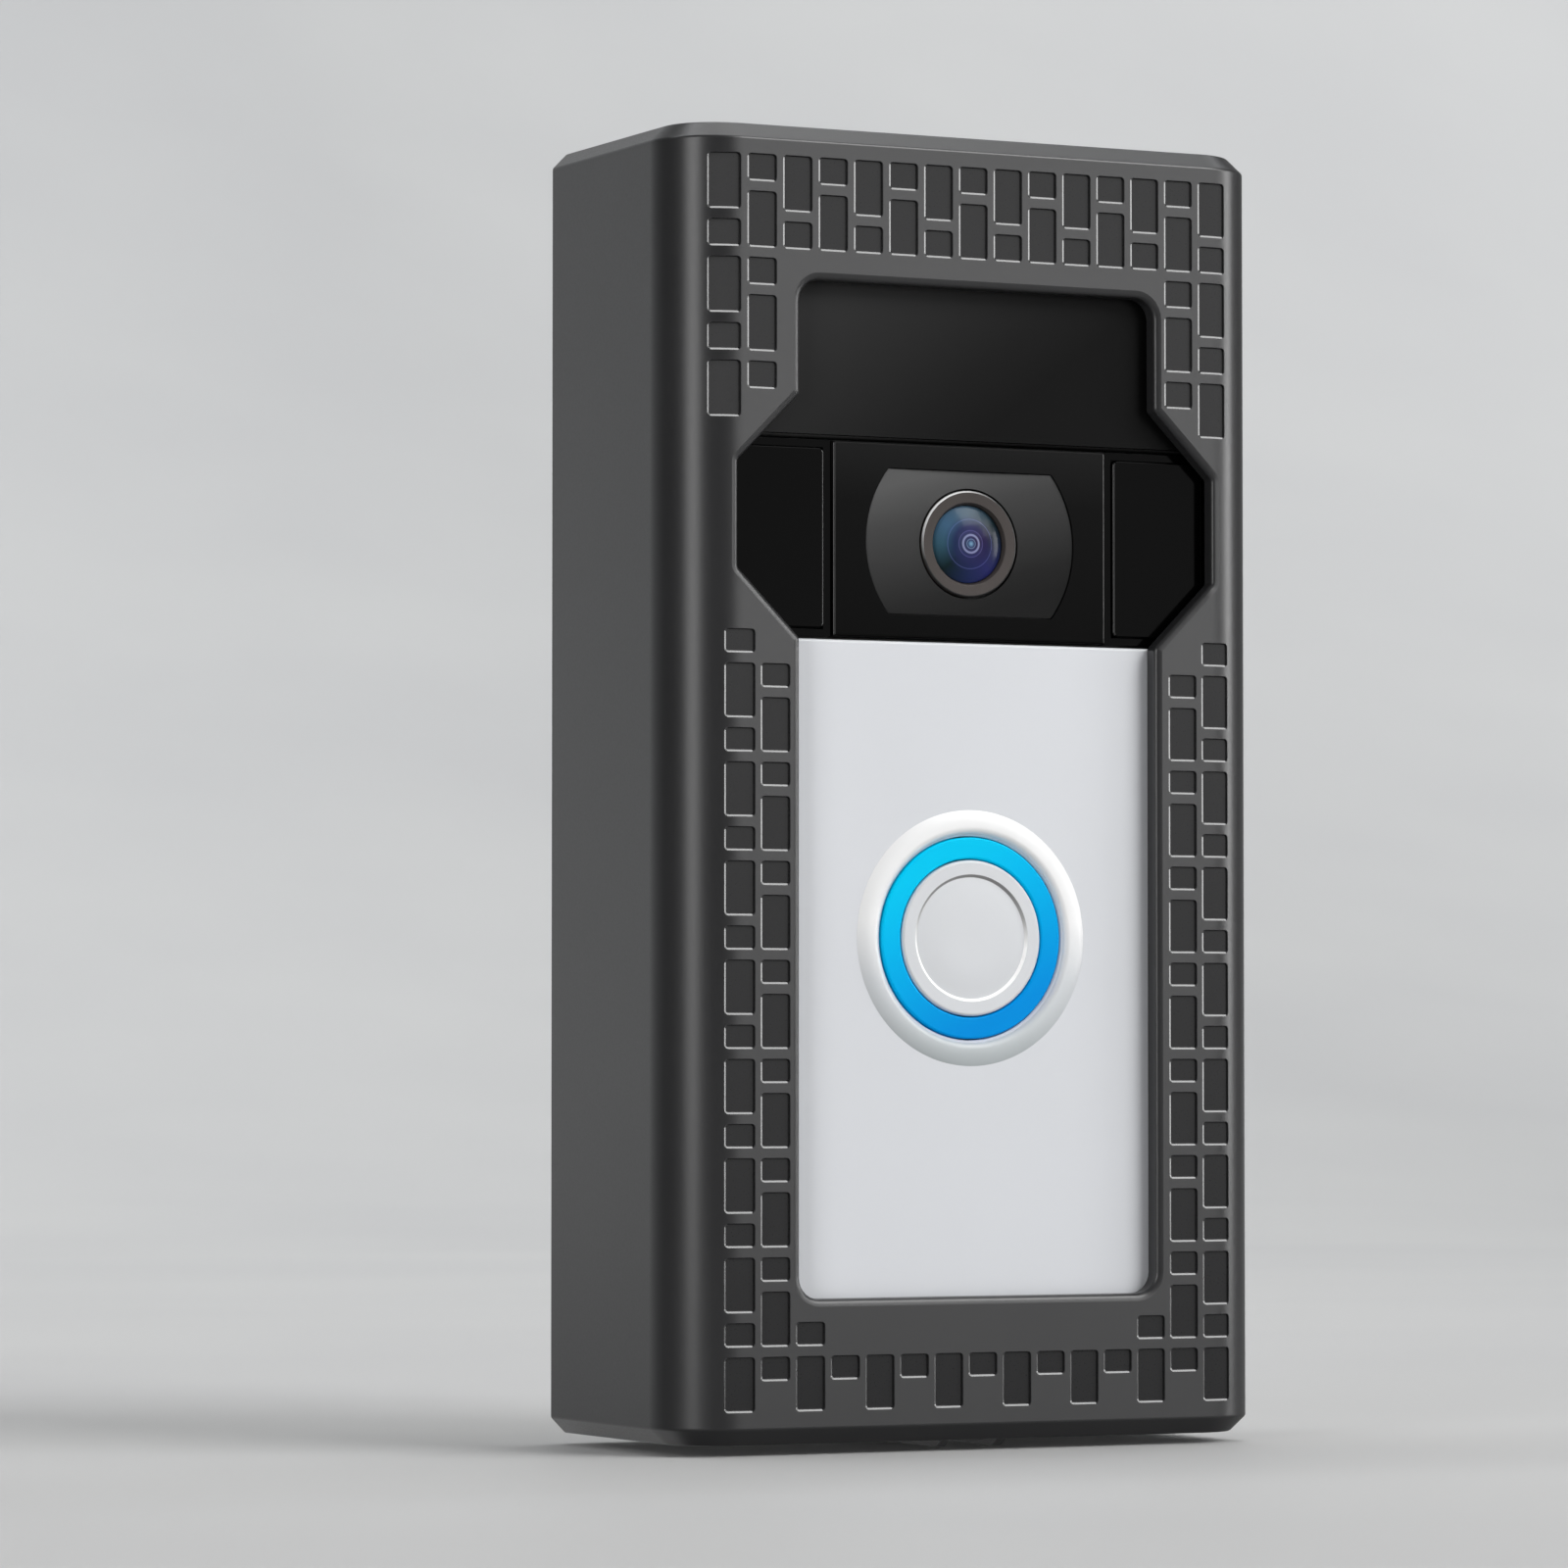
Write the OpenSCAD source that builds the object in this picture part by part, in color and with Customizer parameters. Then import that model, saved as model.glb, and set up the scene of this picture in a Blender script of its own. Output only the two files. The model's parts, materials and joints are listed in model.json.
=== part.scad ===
// Battery video doorbell inside an anti-theft cover, hung on a wall plate.
// X runs right as seen from the front, +Y runs into the wall and +Z up, in millimetres.
// The origin is the middle of the face that rests on the wall.

/* [Cover] */
// Width of the cover
cover_w = 74.6; // [74:0.2:80]
// Height of the cover
cover_h = 146; // [145.6:0.2:150]
// Front plane of the cover, measured from the wall
cover_front = 34.4; // [34.2:0.1:36]
// Gap between the cover's rear rim and the wall
rim_gap = 0.5; // [0.4:0.1:0.8]
// Radius of the two long front edges
edge_r = 7.8; // [6:0.1:8.4]
// Chamfer round the top and bottom ends
end_chamfer = 1.8; // [1:0.1:2]
// Thickness of the side, top and bottom walls
side_wall = 2.4; // [2.2:0.1:2.6]
// Thickness of the front wall
front_wall = 2.2; // [1.8:0.1:2.2]

/* [Cover window] */
// Half width of the long window
window_x = 22.5; // [20:0.1:23]
// Top of the window
window_top = 55.8; // [54:0.1:57]
// Bottom of the window
window_low = -57; // [-58:0.1:-54]
// Corner radius of the window
window_r = 2.4; // [1:0.1:4]
// Half width of the window beside the camera
wide_x = 30.05; // [27:0.05:30.2]
// Half height of the straight stretch beside the camera
wide_straight = 5.95; // [4:0.05:7]
// Height of the middle of the wide stretch
wide_z = 29.55; // [28:0.05:31]

/* [Brick pattern] */
// Number of brick columns
brick_cols = 15; // [15]
// Distance from one column to the next, in the upper and in the lower bricks
brick_pitch = [4.4, 4.3]; // [4.2:0.02:4.42]
// Sideways shift of the upper and of the lower bricks
brick_shift = [-0.85, 0.2]; // [-0.9:0.05:0.4]
// Width of a brick
brick_w = 3.65; // [3:0.05:3.7]
// Height of a tall brick, upper and lower
brick_tall = [6.3, 6.1]; // [5.9:0.05:6.4]
// Height of a short brick, upper and lower
brick_short = [3.1, 2.7]; // [2.5:0.05:3.2]
// Gap between bricks, one above the other
brick_gap = 1.05; // [0.9:0.05:1.1]
// Top line of the pattern
brick_top = 69.5; // [68:0.1:70]
// Bottom line of the pattern
brick_low = -69.3; // [-70:0.1:-68]
// Depth of a brick recess
brick_depth = 0.3; // [0.2:0.1:0.8]

/* [Doorbell] */
// Half width of the doorbell
bell_x = 31; // [30.5:0.1:32]
// Top of the doorbell
bell_top = 62.5; // [61:0.5:64]
// Bottom of the doorbell
bell_low = -64; // [-64.5:0.5:-62]
// Corner radius of the doorbell's outline
bell_r = 6; // [5:0.5:8]
// Front of the doorbell's flat faces, measured from the wall
bell_front = 32; // [31.9:0.1:32.1]
// Top edge of the faceplate
plate_top = 16.1; // [15:0.1:17]
// Top edge of the camera band
band_top = 38.3; // [37:0.1:39]

/* [Camera] */
// Height of the lens axis
lens_z = 27.3; // [26:0.1:28]
// Half width of the panel round the lens
panel_x = 17.25; // [16:0.05:17.3]
// Radius of the lens bezel
bezel_r = 13.1; // [12:0.1:14]
// Half height at which the bezel is cut flat
bezel_flat = 8.1; // [7:0.1:9]
// Outer radius of the metal ring round the glass
lens_ring_r = 6; // [5.5:0.1:6.1]
// Radius of the front glass
glass_r = 4.35; // [4:0.05:4.35]

/* [Button] */
// Height of the button's axis
button_z = -17; // [-20:0.5:-14]
// Outer radius of the light ring
ring_outer = 11.3; // [10.5:0.1:11.3]
// Inner radius of the light ring
ring_inner = 8.9; // [8.7:0.1:9.2]
// Outer radius of the raised collar on the faceplate
collar_r = 14.3; // [13.5:0.1:15]
// Distance the button travels
button_travel = 0.7; // [0.4:0.1:0.7]

/* [Mounting] */
// Spacing of the wall screw holes across
wall_hole_dx = 52; // [48:1:54]
// Spacing of the wall screw holes up and down
wall_hole_dz = 120; // [116:1:122]
// Radius of a wall screw hole
wall_hole_r = 2.1; // [1.8:0.1:2.4]
// Radius of the beads that the cover hangs on
bead_r = 0.95; // [0.8:0.05:0.95]

/* [Hidden] */
$fn = 72;
eps = 0.5;
run_gap = 0.07;

// Cover planes
cover_x = cover_w / 2;
cover_y0 = -cover_front;
cover_y1 = -rim_gap;
cover_top = cover_h / 2;
cavity_y0 = cover_y0 + front_wall;
cavity_top = cover_top - side_wall;
cavity_r = edge_r - side_wall - 1;

// Hanging beads, which are also the cover's hinge
hinge_y = -2.6;
hinge_z = 70.9;
bead_x0 = 12;
bead_x1 = 24;

// Security screw, its boss in the cover and its flange on the plate
lock_y = -8.5;
lock_r = 1.45;
lock_head_r = 2.75;
lock_head_h = 1.6;
lock_low = -73.7;
lock_tip = -68.25;
boss_r = 4.4;
boss_top = -68.2;
boss_floor = 1;
flange_x = 7;
flange_y0 = -12;
flange_low = -67.7;
flange_top = -65;
guard_x0 = 3;
guard_x1 = 4.1;
guard_drop = 0.8;

// Depth planes of the doorbell, from the wall to the front
plate_y0 = -3;
plate_y1 = -1;
bracket_y0 = -5;
rear_y1 = -5;
rear_floor_y = -6.8;
rear_y0 = -18.8;
gasket_y0 = -19.4;
flange_end_y = -21.2;
skirt_end_y = -21.4;
wall_back_y = -28.4;
wall_front_y = -30;
panel_back_y = -30.05;
face_y = -bell_front;
plate_wall = 1.9;
skirt_wall = 1.3;
case_wall = 2;
housing_x = 29.5;
housing_low = -62.5;
inner_x = 27.7;
inner_low = -60.7;
inner_top = 60.5;

// Boards
main_y0 = -21.6;
main_y1 = -20.2;
camera_y0 = -24.4;
camera_y1 = -23.2;
ring_y0 = -24.6;
ring_y1 = -23.4;

// Fastener places
plate_x = 34.4;
plate_z = 69;
bracket_points = [for (x = [-18, 18], z = [-40, 40]) [x, z]];
lug_points = [for (x = [-20, 20], z = [-28, 28]) [x, z]];
case_points = [for (x = [-26, 26], z = [-58.6, 57.2]) [x, z]];
post_points = [for (x = [-25.9, 25.9], z = [-48, 48]) [x, z]];
camera_points = [[-12, 19.5], [12, 19.5], [-24, 51], [24, 51]];
terminal_points = [[-6, 35], [6, 35]];
terminal_head_r = 2.9;

// Button parts
button_front = face_y - 0.2;
button_back = wall_front_y - button_travel - 0.15;
stem_r = 3;
stem_end = -27.2;
carrier_r = 12.3;
carrier_end = -24.7;
guide_end = -28;
lamp_circle = (ring_outer + ring_inner) / 2;

// Setup button on the right side of the case
setup_y = -15.2;
setup_z = 30;
setup_r = 2.5;
setup_travel = 0.5;

// ---- shared shapes ----

// Outline in X and Z, pulled from y0 (front) to y1 (rear)
module slab(y0, y1) {
    translate([0, y1, 0])
        rotate([90, 0, 0])
            linear_extrude(y1 - y0)
                children();
}

module area(x0, x1, z0, z1) {
    translate([x0, z0])
        square([x1 - x0, z1 - z0]);
}

// Rectangle about x = 0 with round corners
module outline(half_x, z0, z1, r) {
    area(-half_x, half_x, z0 + r, z1 - r);
    area(r - half_x, half_x - r, z0, z1);
    for (x = [r - half_x, half_x - r], z = [z0 + r, z1 - r])
        translate([x, z])
            circle(r);
}

module rod_x(r, x0, x1, y, z) {
    translate([x0, y, z])
        rotate([0, 90, 0])
            cylinder(r = r, h = x1 - x0);
}

module rod_y(r, y0, y1, x = 0, z = 0) {
    translate([x, y1, z])
        rotate([90, 0, 0])
            cylinder(r = r, h = y1 - y0);
}

module rod_z(r, z0, z1, x = 0, y = 0) {
    translate([x, y, z0])
        cylinder(r = r, h = z1 - z0);
}

// Cone along Y with its front radius and its rear radius
module cone_y(r_front, r_rear, y0, y1, x = 0, z = 0) {
    translate([x, y1, z])
        rotate([90, 0, 0])
            cylinder(r1 = r_rear, r2 = r_front, h = y1 - y0);
}

module block(x0, x1, y0, y1, z0, z1) {
    translate([x0, y0, z0])
        cube([x1 - x0, y1 - y0, z1 - z0]);
}

module at(points) {
    for (p = points)
        translate([p[0], 0, p[1]])
            children();
}

// ---- cover ----

// Section of the cover seen from above, with round front corners
module cover_section(half_x, y0, y1, r) {
    translate([-half_x, y0 + r])
        square([2 * half_x, y1 - y0 - r]);
    translate([r - half_x, y0])
        square([2 * (half_x - r), r + eps]);
    for (x = [r - half_x, half_x - r])
        translate([x, y0 + r])
            circle(r);
}

// One chamfered end: a middle stretch, a rear stretch and two corner cones
module cover_end() {
    c = end_chamfer;
    flat_x = cover_x - edge_r;
    translate([-flat_x, 0, 0])
        rotate([90, 0, 90])
            linear_extrude(2 * flat_x)
                polygon([[cover_y0, 0], [cover_y1, 0], [cover_y1, c], [cover_y0 + c, c]]);
    slab(cover_y0 + edge_r, cover_y1)
        polygon([[-cover_x, 0], [cover_x, 0], [cover_x - c, c], [c - cover_x, c]]);
    for (x = [-flat_x, flat_x])
        translate([x, cover_y0 + edge_r, 0])
            cylinder(r1 = edge_r, r2 = edge_r - c, h = c);
}

module cover_outside() {
    linear_extrude(cover_h - 2 * end_chamfer, center = true)
        cover_section(cover_x, cover_y0, cover_y1, edge_r);
    for (end = [0, 1])
        mirror([0, 0, end])
            translate([0, 0, cover_top - end_chamfer])
                cover_end();
}

module window_outline() {
    slope = wide_x - window_x;
    reach = wide_straight + slope;
    translate([0, (window_top + window_low) / 2])
        outline(window_x, (window_low - window_top) / 2, (window_top - window_low) / 2, window_r);
    translate([0, wide_z])
        polygon([
            [window_x, reach], [wide_x, wide_straight], [wide_x, -wide_straight], [window_x, -reach],
            [-window_x, -reach], [-wide_x, -wide_straight], [-wide_x, wide_straight], [-window_x, reach]
        ]);
}

// Height of the k-th brick of a stack that starts with a tall brick or a short one.
// Part is 0 for the upper bricks and 1 for the lower ones.
function brick_h(part, k, tall_first) =
    (k % 2 == 0) == tall_first ? brick_tall[part] : brick_short[part];

// Distance from the start of a stack to the near edge of its k-th brick
function brick_run(part, k, tall_first) =
    floor(k / 2) * (brick_tall[part] + brick_short[part] + 2 * brick_gap)
    + (k % 2 == 1 ? brick_h(part, 0, tall_first) + brick_gap : 0);

// Bricks of one column that run down from the top line
function upper_count(side) = side <= 2 ? 5 : 2;

// Bricks of one column that run up from the bottom line
function lower_count(side) = side == 1 ? 16 : side == 2 ? 15 : side == 3 ? 2 : 1;

module brick(part, col, z0, h) {
    reach = 1.9;
    x = brick_shift[part] + (col - (brick_cols + 1) / 2) * brick_pitch[part];
    block(x - brick_w / 2, x + brick_w / 2, cover_y0 - eps, cover_y0 + reach, z0, z0 + h);
}

module bricks() {
    for (col = [1:brick_cols]) {
        side = min(col, brick_cols + 1 - col);
        odd = col % 2 == 1;
        start = odd ? brick_low : brick_low + brick_tall[1] - brick_short[1];
        for (k = [0:upper_count(side) - 1])
            brick(0, col, brick_top - brick_run(0, k, odd) - brick_h(0, k, odd), brick_h(0, k, odd));
        for (k = [0:lower_count(side) - 1])
            brick(1, col, start + brick_run(1, k, odd), brick_h(1, k, odd));
    }
}

// Recesses of one depth, which follow the round edges too
module brick_recesses() {
    difference() {
        bricks();
        linear_extrude(2 * cover_top, center = true)
            cover_section(cover_x - brick_depth, cover_y0 + brick_depth, cover_y1, edge_r - brick_depth);
    }
}

// Low ribs under the bottom wall, one on each side of the screw
module guard_ribs() {
    ramp = 1.2;
    front = cover_y0 + 2;
    back = -3.4;
    for (x = [-guard_x1, guard_x0])
        translate([x, 0, 0])
            rotate([90, 0, 90])
                linear_extrude(guard_x1 - guard_x0)
                    polygon([
                        [front, eps - cover_top], [front, -cover_top],
                        [front + ramp, -cover_top - guard_drop], [back, -cover_top - guard_drop],
                        [back, eps - cover_top]
                    ]);
}

module cover_housing() {
    color([0.32, 0.32, 0.32])
        difference() {
            union() {
                difference() {
                    cover_outside();
                    linear_extrude(2 * cavity_top, center = true)
                        cover_section(cover_x - side_wall, cavity_y0, eps, cavity_r);
                }
                rod_z(boss_r, -cavity_top - eps, boss_top, 0, lock_y);
                guard_ribs();
            }
            slab(cover_y0 - eps, cavity_y0 + eps)
                window_outline();
            brick_recesses();
            for (x = [-bead_x1, bead_x0])
                rod_x(bead_r + run_gap, x - 0.4, x + bead_x1 - bead_x0 + 0.4, hinge_y, hinge_z);
            rod_z(lock_head_r + 0.15, -cover_top - 2, boss_top - boss_floor, 0, lock_y);
            rod_z(lock_r + run_gap, -cover_top, boss_top + eps, 0, lock_y);
        }
}

module security_screw() {
    lobe_r = 0.36;
    socket_h = 0.9;
    color([0.62, 0.62, 0.64])
        translate([0, lock_y, 0]) {
            rod_z(lock_r, lock_low + lock_head_h - 0.1, lock_tip);
            rod_z(0.35, lock_low + 0.1, lock_low + socket_h + 0.1);
            difference() {
                rod_z(lock_head_r, lock_low, lock_low + lock_head_h);
                rod_z(0.95, lock_low - eps, lock_low + socket_h);
                for (turn = [0:60:300])
                    rotate([0, 0, turn])
                        rod_z(lobe_r, lock_low - eps, lock_low + socket_h, 1, 0);
            }
        }
}

// ---- wall plate and bracket ----

module mount_plate() {
    sink_r = 4;
    sink_end = -1.9;
    wall_points = [for (x = [-0.5, 0.5], z = [-0.5, 0.5]) [x * wall_hole_dx, z * wall_hole_dz]];
    color([0.2, 0.2, 0.21])
        difference() {
            union() {
                slab(plate_y0, plate_y1)
                    outline(plate_x, -plate_z, plate_z, 3);
                block(-flange_x, flange_x, flange_y0, plate_y1, flange_low, flange_top);
                for (x = [-6.6, 5.6])
                    translate([x, 0, 0])
                        rotate([90, 0, 90])
                            linear_extrude(1)
                                polygon([
                                    [plate_y0 + eps, -plate_z], [plate_y0 + eps, flange_low + eps],
                                    [plate_y0 - 4, flange_low + eps], [plate_y0 - 4, flange_low]
                                ]);
                for (x = [-bead_x1, bead_x0]) {
                    rod_x(bead_r, x, x + bead_x1 - bead_x0, hinge_y, hinge_z);
                    block(x, x + bead_x1 - bead_x0, hinge_y - 0.7, hinge_y + 0.7, plate_z - 3, hinge_z);
                }
            }
            at(wall_points) {
                rod_y(wall_hole_r, plate_y0 - eps, plate_y1 + eps);
                cone_y(sink_r, wall_hole_r, plate_y0, sink_end);
            }
            at(bracket_points)
                rod_y(1.5, plate_y0 - eps, plate_y1 + eps);
            rod_z(lock_r + run_gap, flange_low - eps, flange_top + eps, 0, lock_y);
        }
}

module adhesive_pads() {
    color([0.85, 0.85, 0.82])
        for (z = [-44, 0, 44])
            slab(plate_y1, 0)
                translate([0, z])
                    outline(30, -8, 8, 2);
}

module doorbell_bracket() {
    head_end = -3.5;
    color([0.12, 0.12, 0.13])
        difference() {
            union() {
                slab(bracket_y0, plate_y0)
                    outline(24, -50, 50, 4);
                at(lug_points)
                    block(-2, 2, bracket_y0 - 1.5, bracket_y0 + eps, -2.5, 2.5);
            }
            at(terminal_points)
                rod_y(terminal_head_r + 0.5, bracket_y0 - eps, plate_y0 + eps);
            at(bracket_points) {
                cone_y(3, 1.5, bracket_y0, head_end);
                rod_y(1.5, bracket_y0 - eps, plate_y0 + eps);
            }
        }
}

module bracket_screws() {
    color([0.6, 0.6, 0.62])
        at(bracket_points)
            difference() {
                union() {
                    cone_y(2.95, 1.45, -4.95, -3.45);
                    rod_y(1.45, -3.5, plate_y1 - 0.1);
                }
                rotate([90, 0, 0])
                    translate([0, 0, 4.1])
                        cylinder(r = 1.2, h = 2, $fn = 6);
            }
}

// ---- cases ----

module bell_outline() {
    outline(bell_x, bell_low, bell_top, bell_r);
}

module rear_case() {
    color([0.1, 0.1, 0.1])
        difference() {
            union() {
                difference() {
                    slab(rear_y0, rear_y1)
                        bell_outline();
                    slab(rear_y0 - eps, rear_floor_y)
                        outline(bell_x - case_wall, bell_low + case_wall, bell_top - case_wall, 4);
                }
                at(case_points)
                    rod_y(3, rear_y0, rear_floor_y + eps);
                at(post_points)
                    rod_y(1.6, main_y1 + 0.05, rear_floor_y + eps);
            }
            at(case_points) {
                rod_y(1.2, rear_y0 - eps, rear_y1 + eps);
                rod_y(2.4, -7, rear_y1 + eps);
            }
            at(post_points)
                rod_y(0.95, main_y1 - eps, -14);
            at(lug_points)
                block(-2.2, 2.2, rear_floor_y - eps, rear_y1 + eps, -2.7, 2.7);
            at(terminal_points)
                rod_y(1.8, rear_floor_y - eps, rear_y1 + eps);
            block(11.5, 20.5, rear_floor_y - eps, rear_y1 + eps, 11.6, 15.4);
            rod_x(setup_r + run_gap, bell_x - case_wall - eps, bell_x + eps, setup_y, setup_z);
        }
}

module case_gasket() {
    color([0.25, 0.25, 0.25])
        slab(gasket_y0 + 0.02, rear_y0 - 0.02)
            difference() {
                outline(bell_x - 0.3, bell_low + 0.3, bell_top - 0.3, bell_r - 0.3);
                outline(bell_x - 1.7, bell_low + 1.7, bell_top - 1.7, bell_r - 1.7);
            }
}

// Stretch of the doorbell above the faceplate's top edge
module head_outline(z0) {
    intersection() {
        bell_outline();
        area(-bell_x, bell_x, z0, bell_top);
    }
}

module front_housing() {
    lamp_window = [19, 28.5, 18.5, 36.5];
    color([0.09, 0.09, 0.09])
        difference() {
            union() {
                difference() {
                    union() {
                        slab(flange_end_y, gasket_y0)
                            bell_outline();
                        slab(wall_front_y, flange_end_y + eps)
                            outline(housing_x, housing_low, plate_top + 8, 4.5);
                        slab(wall_front_y, flange_end_y + eps)
                            head_outline(plate_top + 0.3);
                    }
                    slab(wall_back_y, gasket_y0 + eps)
                        outline(inner_x, inner_low, inner_top, 3);
                }
                at(case_points)
                    rod_y(2.8, wall_back_y - eps, gasket_y0);
                at(camera_points)
                    rod_y(1.8, wall_back_y - eps, camera_y0 - 0.05);
                block(-3, 3, wall_back_y - eps, -23, inner_low - eps, -57.4);
            }
            at(case_points)
                rod_y(1.15, -27, gasket_y0 + eps);
            at(camera_points)
                rod_y(0.85, wall_back_y - 0.6, camera_y0 + eps);
            rod_y(carrier_r + 0.1, wall_front_y - eps, wall_back_y + eps, 0, button_z);
            rod_y(5.4, wall_front_y - eps, wall_back_y + eps, 0, lens_z);
            for (side = [0, 1])
                mirror([side, 0, 0])
                    slab(wall_front_y - eps, wall_back_y + eps)
                        area(lamp_window[0], lamp_window[1], lamp_window[2], lamp_window[3]);
            for (x = [-6:3:6])
                rod_y(0.9, wall_front_y - eps, wall_back_y + eps, x, -46);
            rod_y(0.6, wall_front_y - eps, wall_back_y + eps, 0, 42);
            rod_z(1.25, housing_low - eps, -58, 0, -26);
        }
}

module case_screws() {
    color([0.55, 0.55, 0.57])
        at(case_points) {
            rod_y(2.1, -6.9, -5.4);
            rod_y(1.1, -24, -6.8);
        }
}

// Raised ring whose section is a shallow arc
module collar() {
    width = (collar_r - ring_outer - 0.1) / 2;
    rise = 0.5;
    arc_r = (width * width + rise * rise) / (2 * rise);
    translate([0, face_y, button_z])
        rotate([90, 0, 0])
            rotate_extrude()
                intersection() {
                    translate([collar_r - width, rise - arc_r])
                        circle(arc_r);
                    translate([collar_r - 2 * width, -0.3])
                        square([2 * width, 1]);
                }
}

module faceplate() {
    color([0.8, 0.81, 0.83])
        difference() {
            union() {
                difference() {
                    slab(face_y, skirt_end_y)
                        intersection() {
                            bell_outline();
                            area(-bell_x, bell_x, bell_low, plate_top);
                        }
                    slab(face_y + plate_wall, skirt_end_y + eps)
                        intersection() {
                            outline(bell_x - skirt_wall, bell_low + skirt_wall, bell_top, bell_r - skirt_wall);
                            area(-bell_x, bell_x, bell_low, plate_top + eps);
                        }
                }
                collar();
            }
            rod_y(ring_outer + 0.1, face_y - 1, face_y + plate_wall + eps, 0, button_z);
            rod_z(1.3, bell_low - eps, bell_low + skirt_wall + eps, 0, -26);
        }
}

module faceplate_screw() {
    color([0.6, 0.6, 0.62])
        translate([0, -26, 0])
            difference() {
                union() {
                    rod_z(2.1, bell_low - 1.2, bell_low - 0.02);
                    rod_z(1.2, bell_low - 0.1, -58.5);
                }
                translate([0, 0, bell_low - 1.7])
                    cylinder(r = 1, h = 1.2, $fn = 6);
            }
}

// ---- camera head ----

module upper_panel() {
    color([0.12, 0.12, 0.12])
        slab(face_y, panel_back_y)
            head_outline(band_top + 0.2);
}

module camera_frame() {
    web_y = -30.5;
    color([0.07, 0.07, 0.07])
        difference() {
            slab(face_y + 0.5, panel_back_y)
                area(-bell_x, bell_x, plate_top + 0.3, band_top);
            slab(face_y - eps, web_y)
                area(-panel_x - 0.15, panel_x + 0.15, plate_top, band_top + eps);
            for (side = [0, 1])
                mirror([side, 0, 0])
                    slab(face_y, panel_back_y + eps)
                        area(18.3, 30.1, 17.2, 37.5);
            rod_y(6.6, face_y, panel_back_y + eps, 0, lens_z);
        }
}

module bezel_outline(extra) {
    translate([0, lens_z])
        intersection() {
            circle(bezel_r + extra);
            square([3 * bezel_r, 2 * (bezel_flat + extra)], center = true);
        }
}

module camera_panel() {
    color([0.13, 0.13, 0.13])
        difference() {
            slab(face_y, -30.55)
                area(-panel_x, panel_x, plate_top + 0.35, band_top - 0.05);
            slab(face_y - eps, -30.95)
                bezel_outline(0.1);
            rod_y(6.6, face_y, panel_back_y, 0, lens_z);
        }
}

module ir_window(side) {
    color([0.03, 0.03, 0.035])
        mirror([side, 0, 0])
            slab(face_y + 0.1, -30.3)
                translate([24.2, 27.35])
                    outline(5.8, -10.05, 10.05, 0.6);
}

module ir_window_left() {
    ir_window(1);
}

module ir_window_right() {
    ir_window(0);
}

module lens_bezel() {
    color([0.24, 0.24, 0.24])
        difference() {
            slab(face_y + 0.15, -31)
                bezel_outline(0);
            cone_y(bezel_r, lens_ring_r + 0.3, face_y + 0.14, face_y + 0.75, 0, lens_z);
            rod_y(lens_ring_r + 0.3, face_y, panel_back_y, 0, lens_z);
        }
}

module lens_ring() {
    color([0.33, 0.3, 0.29])
        difference() {
            rod_y(lens_ring_r, face_y + 0.1, -30.1, 0, lens_z);
            rod_y(glass_r + 0.1, face_y - eps, panel_back_y, 0, lens_z);
            cone_y(lens_ring_r - 0.4, glass_r + 0.1, face_y + 0.1, face_y + 0.35, 0, lens_z);
        }
}

module lens_glass() {
    dome = 0.4;
    dome_r = (glass_r * glass_r + dome * dome) / (2 * dome);
    color([0.2, 0.25, 0.5])
        intersection() {
            rod_y(glass_r, face_y - 1, -30.6, 0, lens_z);
            translate([0, face_y - 0.2 + dome_r, lens_z])
                sphere(dome_r);
        }
}

module lens_barrel() {
    color([0.1, 0.1, 0.1])
        difference() {
            rod_y(5.2, -30.05, -25.2, 0, lens_z);
            rod_y(3.9, -31, -25, 0, lens_z);
        }
}

module lens_elements() {
    color([0.5, 0.6, 0.8])
        for (y = [-29.4, -27.9, -26.4])
            rod_y(3.85, y, y + 0.8, 0, lens_z);
}

module camera_holder() {
    color([0.15, 0.15, 0.15])
        difference() {
            block(-8, 8, -28.3, camera_y0 - 0.05, lens_z - 7.5, lens_z + 7.5);
            rod_y(5.3, -29, camera_y0 + eps, 0, lens_z);
        }
}

module image_sensor() {
    color([0.3, 0.35, 0.3])
        block(-3, 3, -25.1, camera_y0 - 0.02, lens_z - 2.4, lens_z + 2.4);
}

module camera_board() {
    color([0.05, 0.35, 0.2])
        difference() {
            slab(camera_y0, camera_y1)
                area(-26.5, 26.5, 17, 53.5);
            at(camera_points)
                rod_y(1, camera_y0 - eps, camera_y1 + eps);
        }
}

module ir_lamps() {
    color([0.75, 0.72, 0.8])
        at([for (x = [-25, -20.8, 20.8, 25], z = [22.5, 32.5]) [x, z]]) {
            block(-1.7, 1.7, -25.3, camera_y0 - 0.02, -1.7, 1.7);
            rod_y(1.4, -26.4, -25.2);
            translate([0, -26.4, 0])
                sphere(1.4);
        }
}

module motion_sensors() {
    color([0.7, 0.7, 0.72])
        at([[-12, 46], [12, 46]])
            difference() {
                rod_y(4.1, -28.2, camera_y0 - 0.02);
                block(-2, 2, -28.7, -27.8, -1.5, 1.5);
            }
}

module microphone() {
    color([0.75, 0.75, 0.7])
        difference() {
            rod_y(2, -26, camera_y0 - 0.02, 0, 42);
            rod_y(0.4, -26.5, -25, 0, 42);
        }
}

module wifi_antenna() {
    color([0.75, 0.6, 0.3])
        block(-18, 18, -27, -22, 59.7, 60.2);
}

// ---- button ----

module light_ring() {
    color([0.1, 0.65, 0.95])
        difference() {
            rod_y(ring_outer, face_y - 0.1, -27.6, 0, button_z);
            rod_y(ring_inner, face_y - 1, -27, 0, button_z);
        }
}

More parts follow.
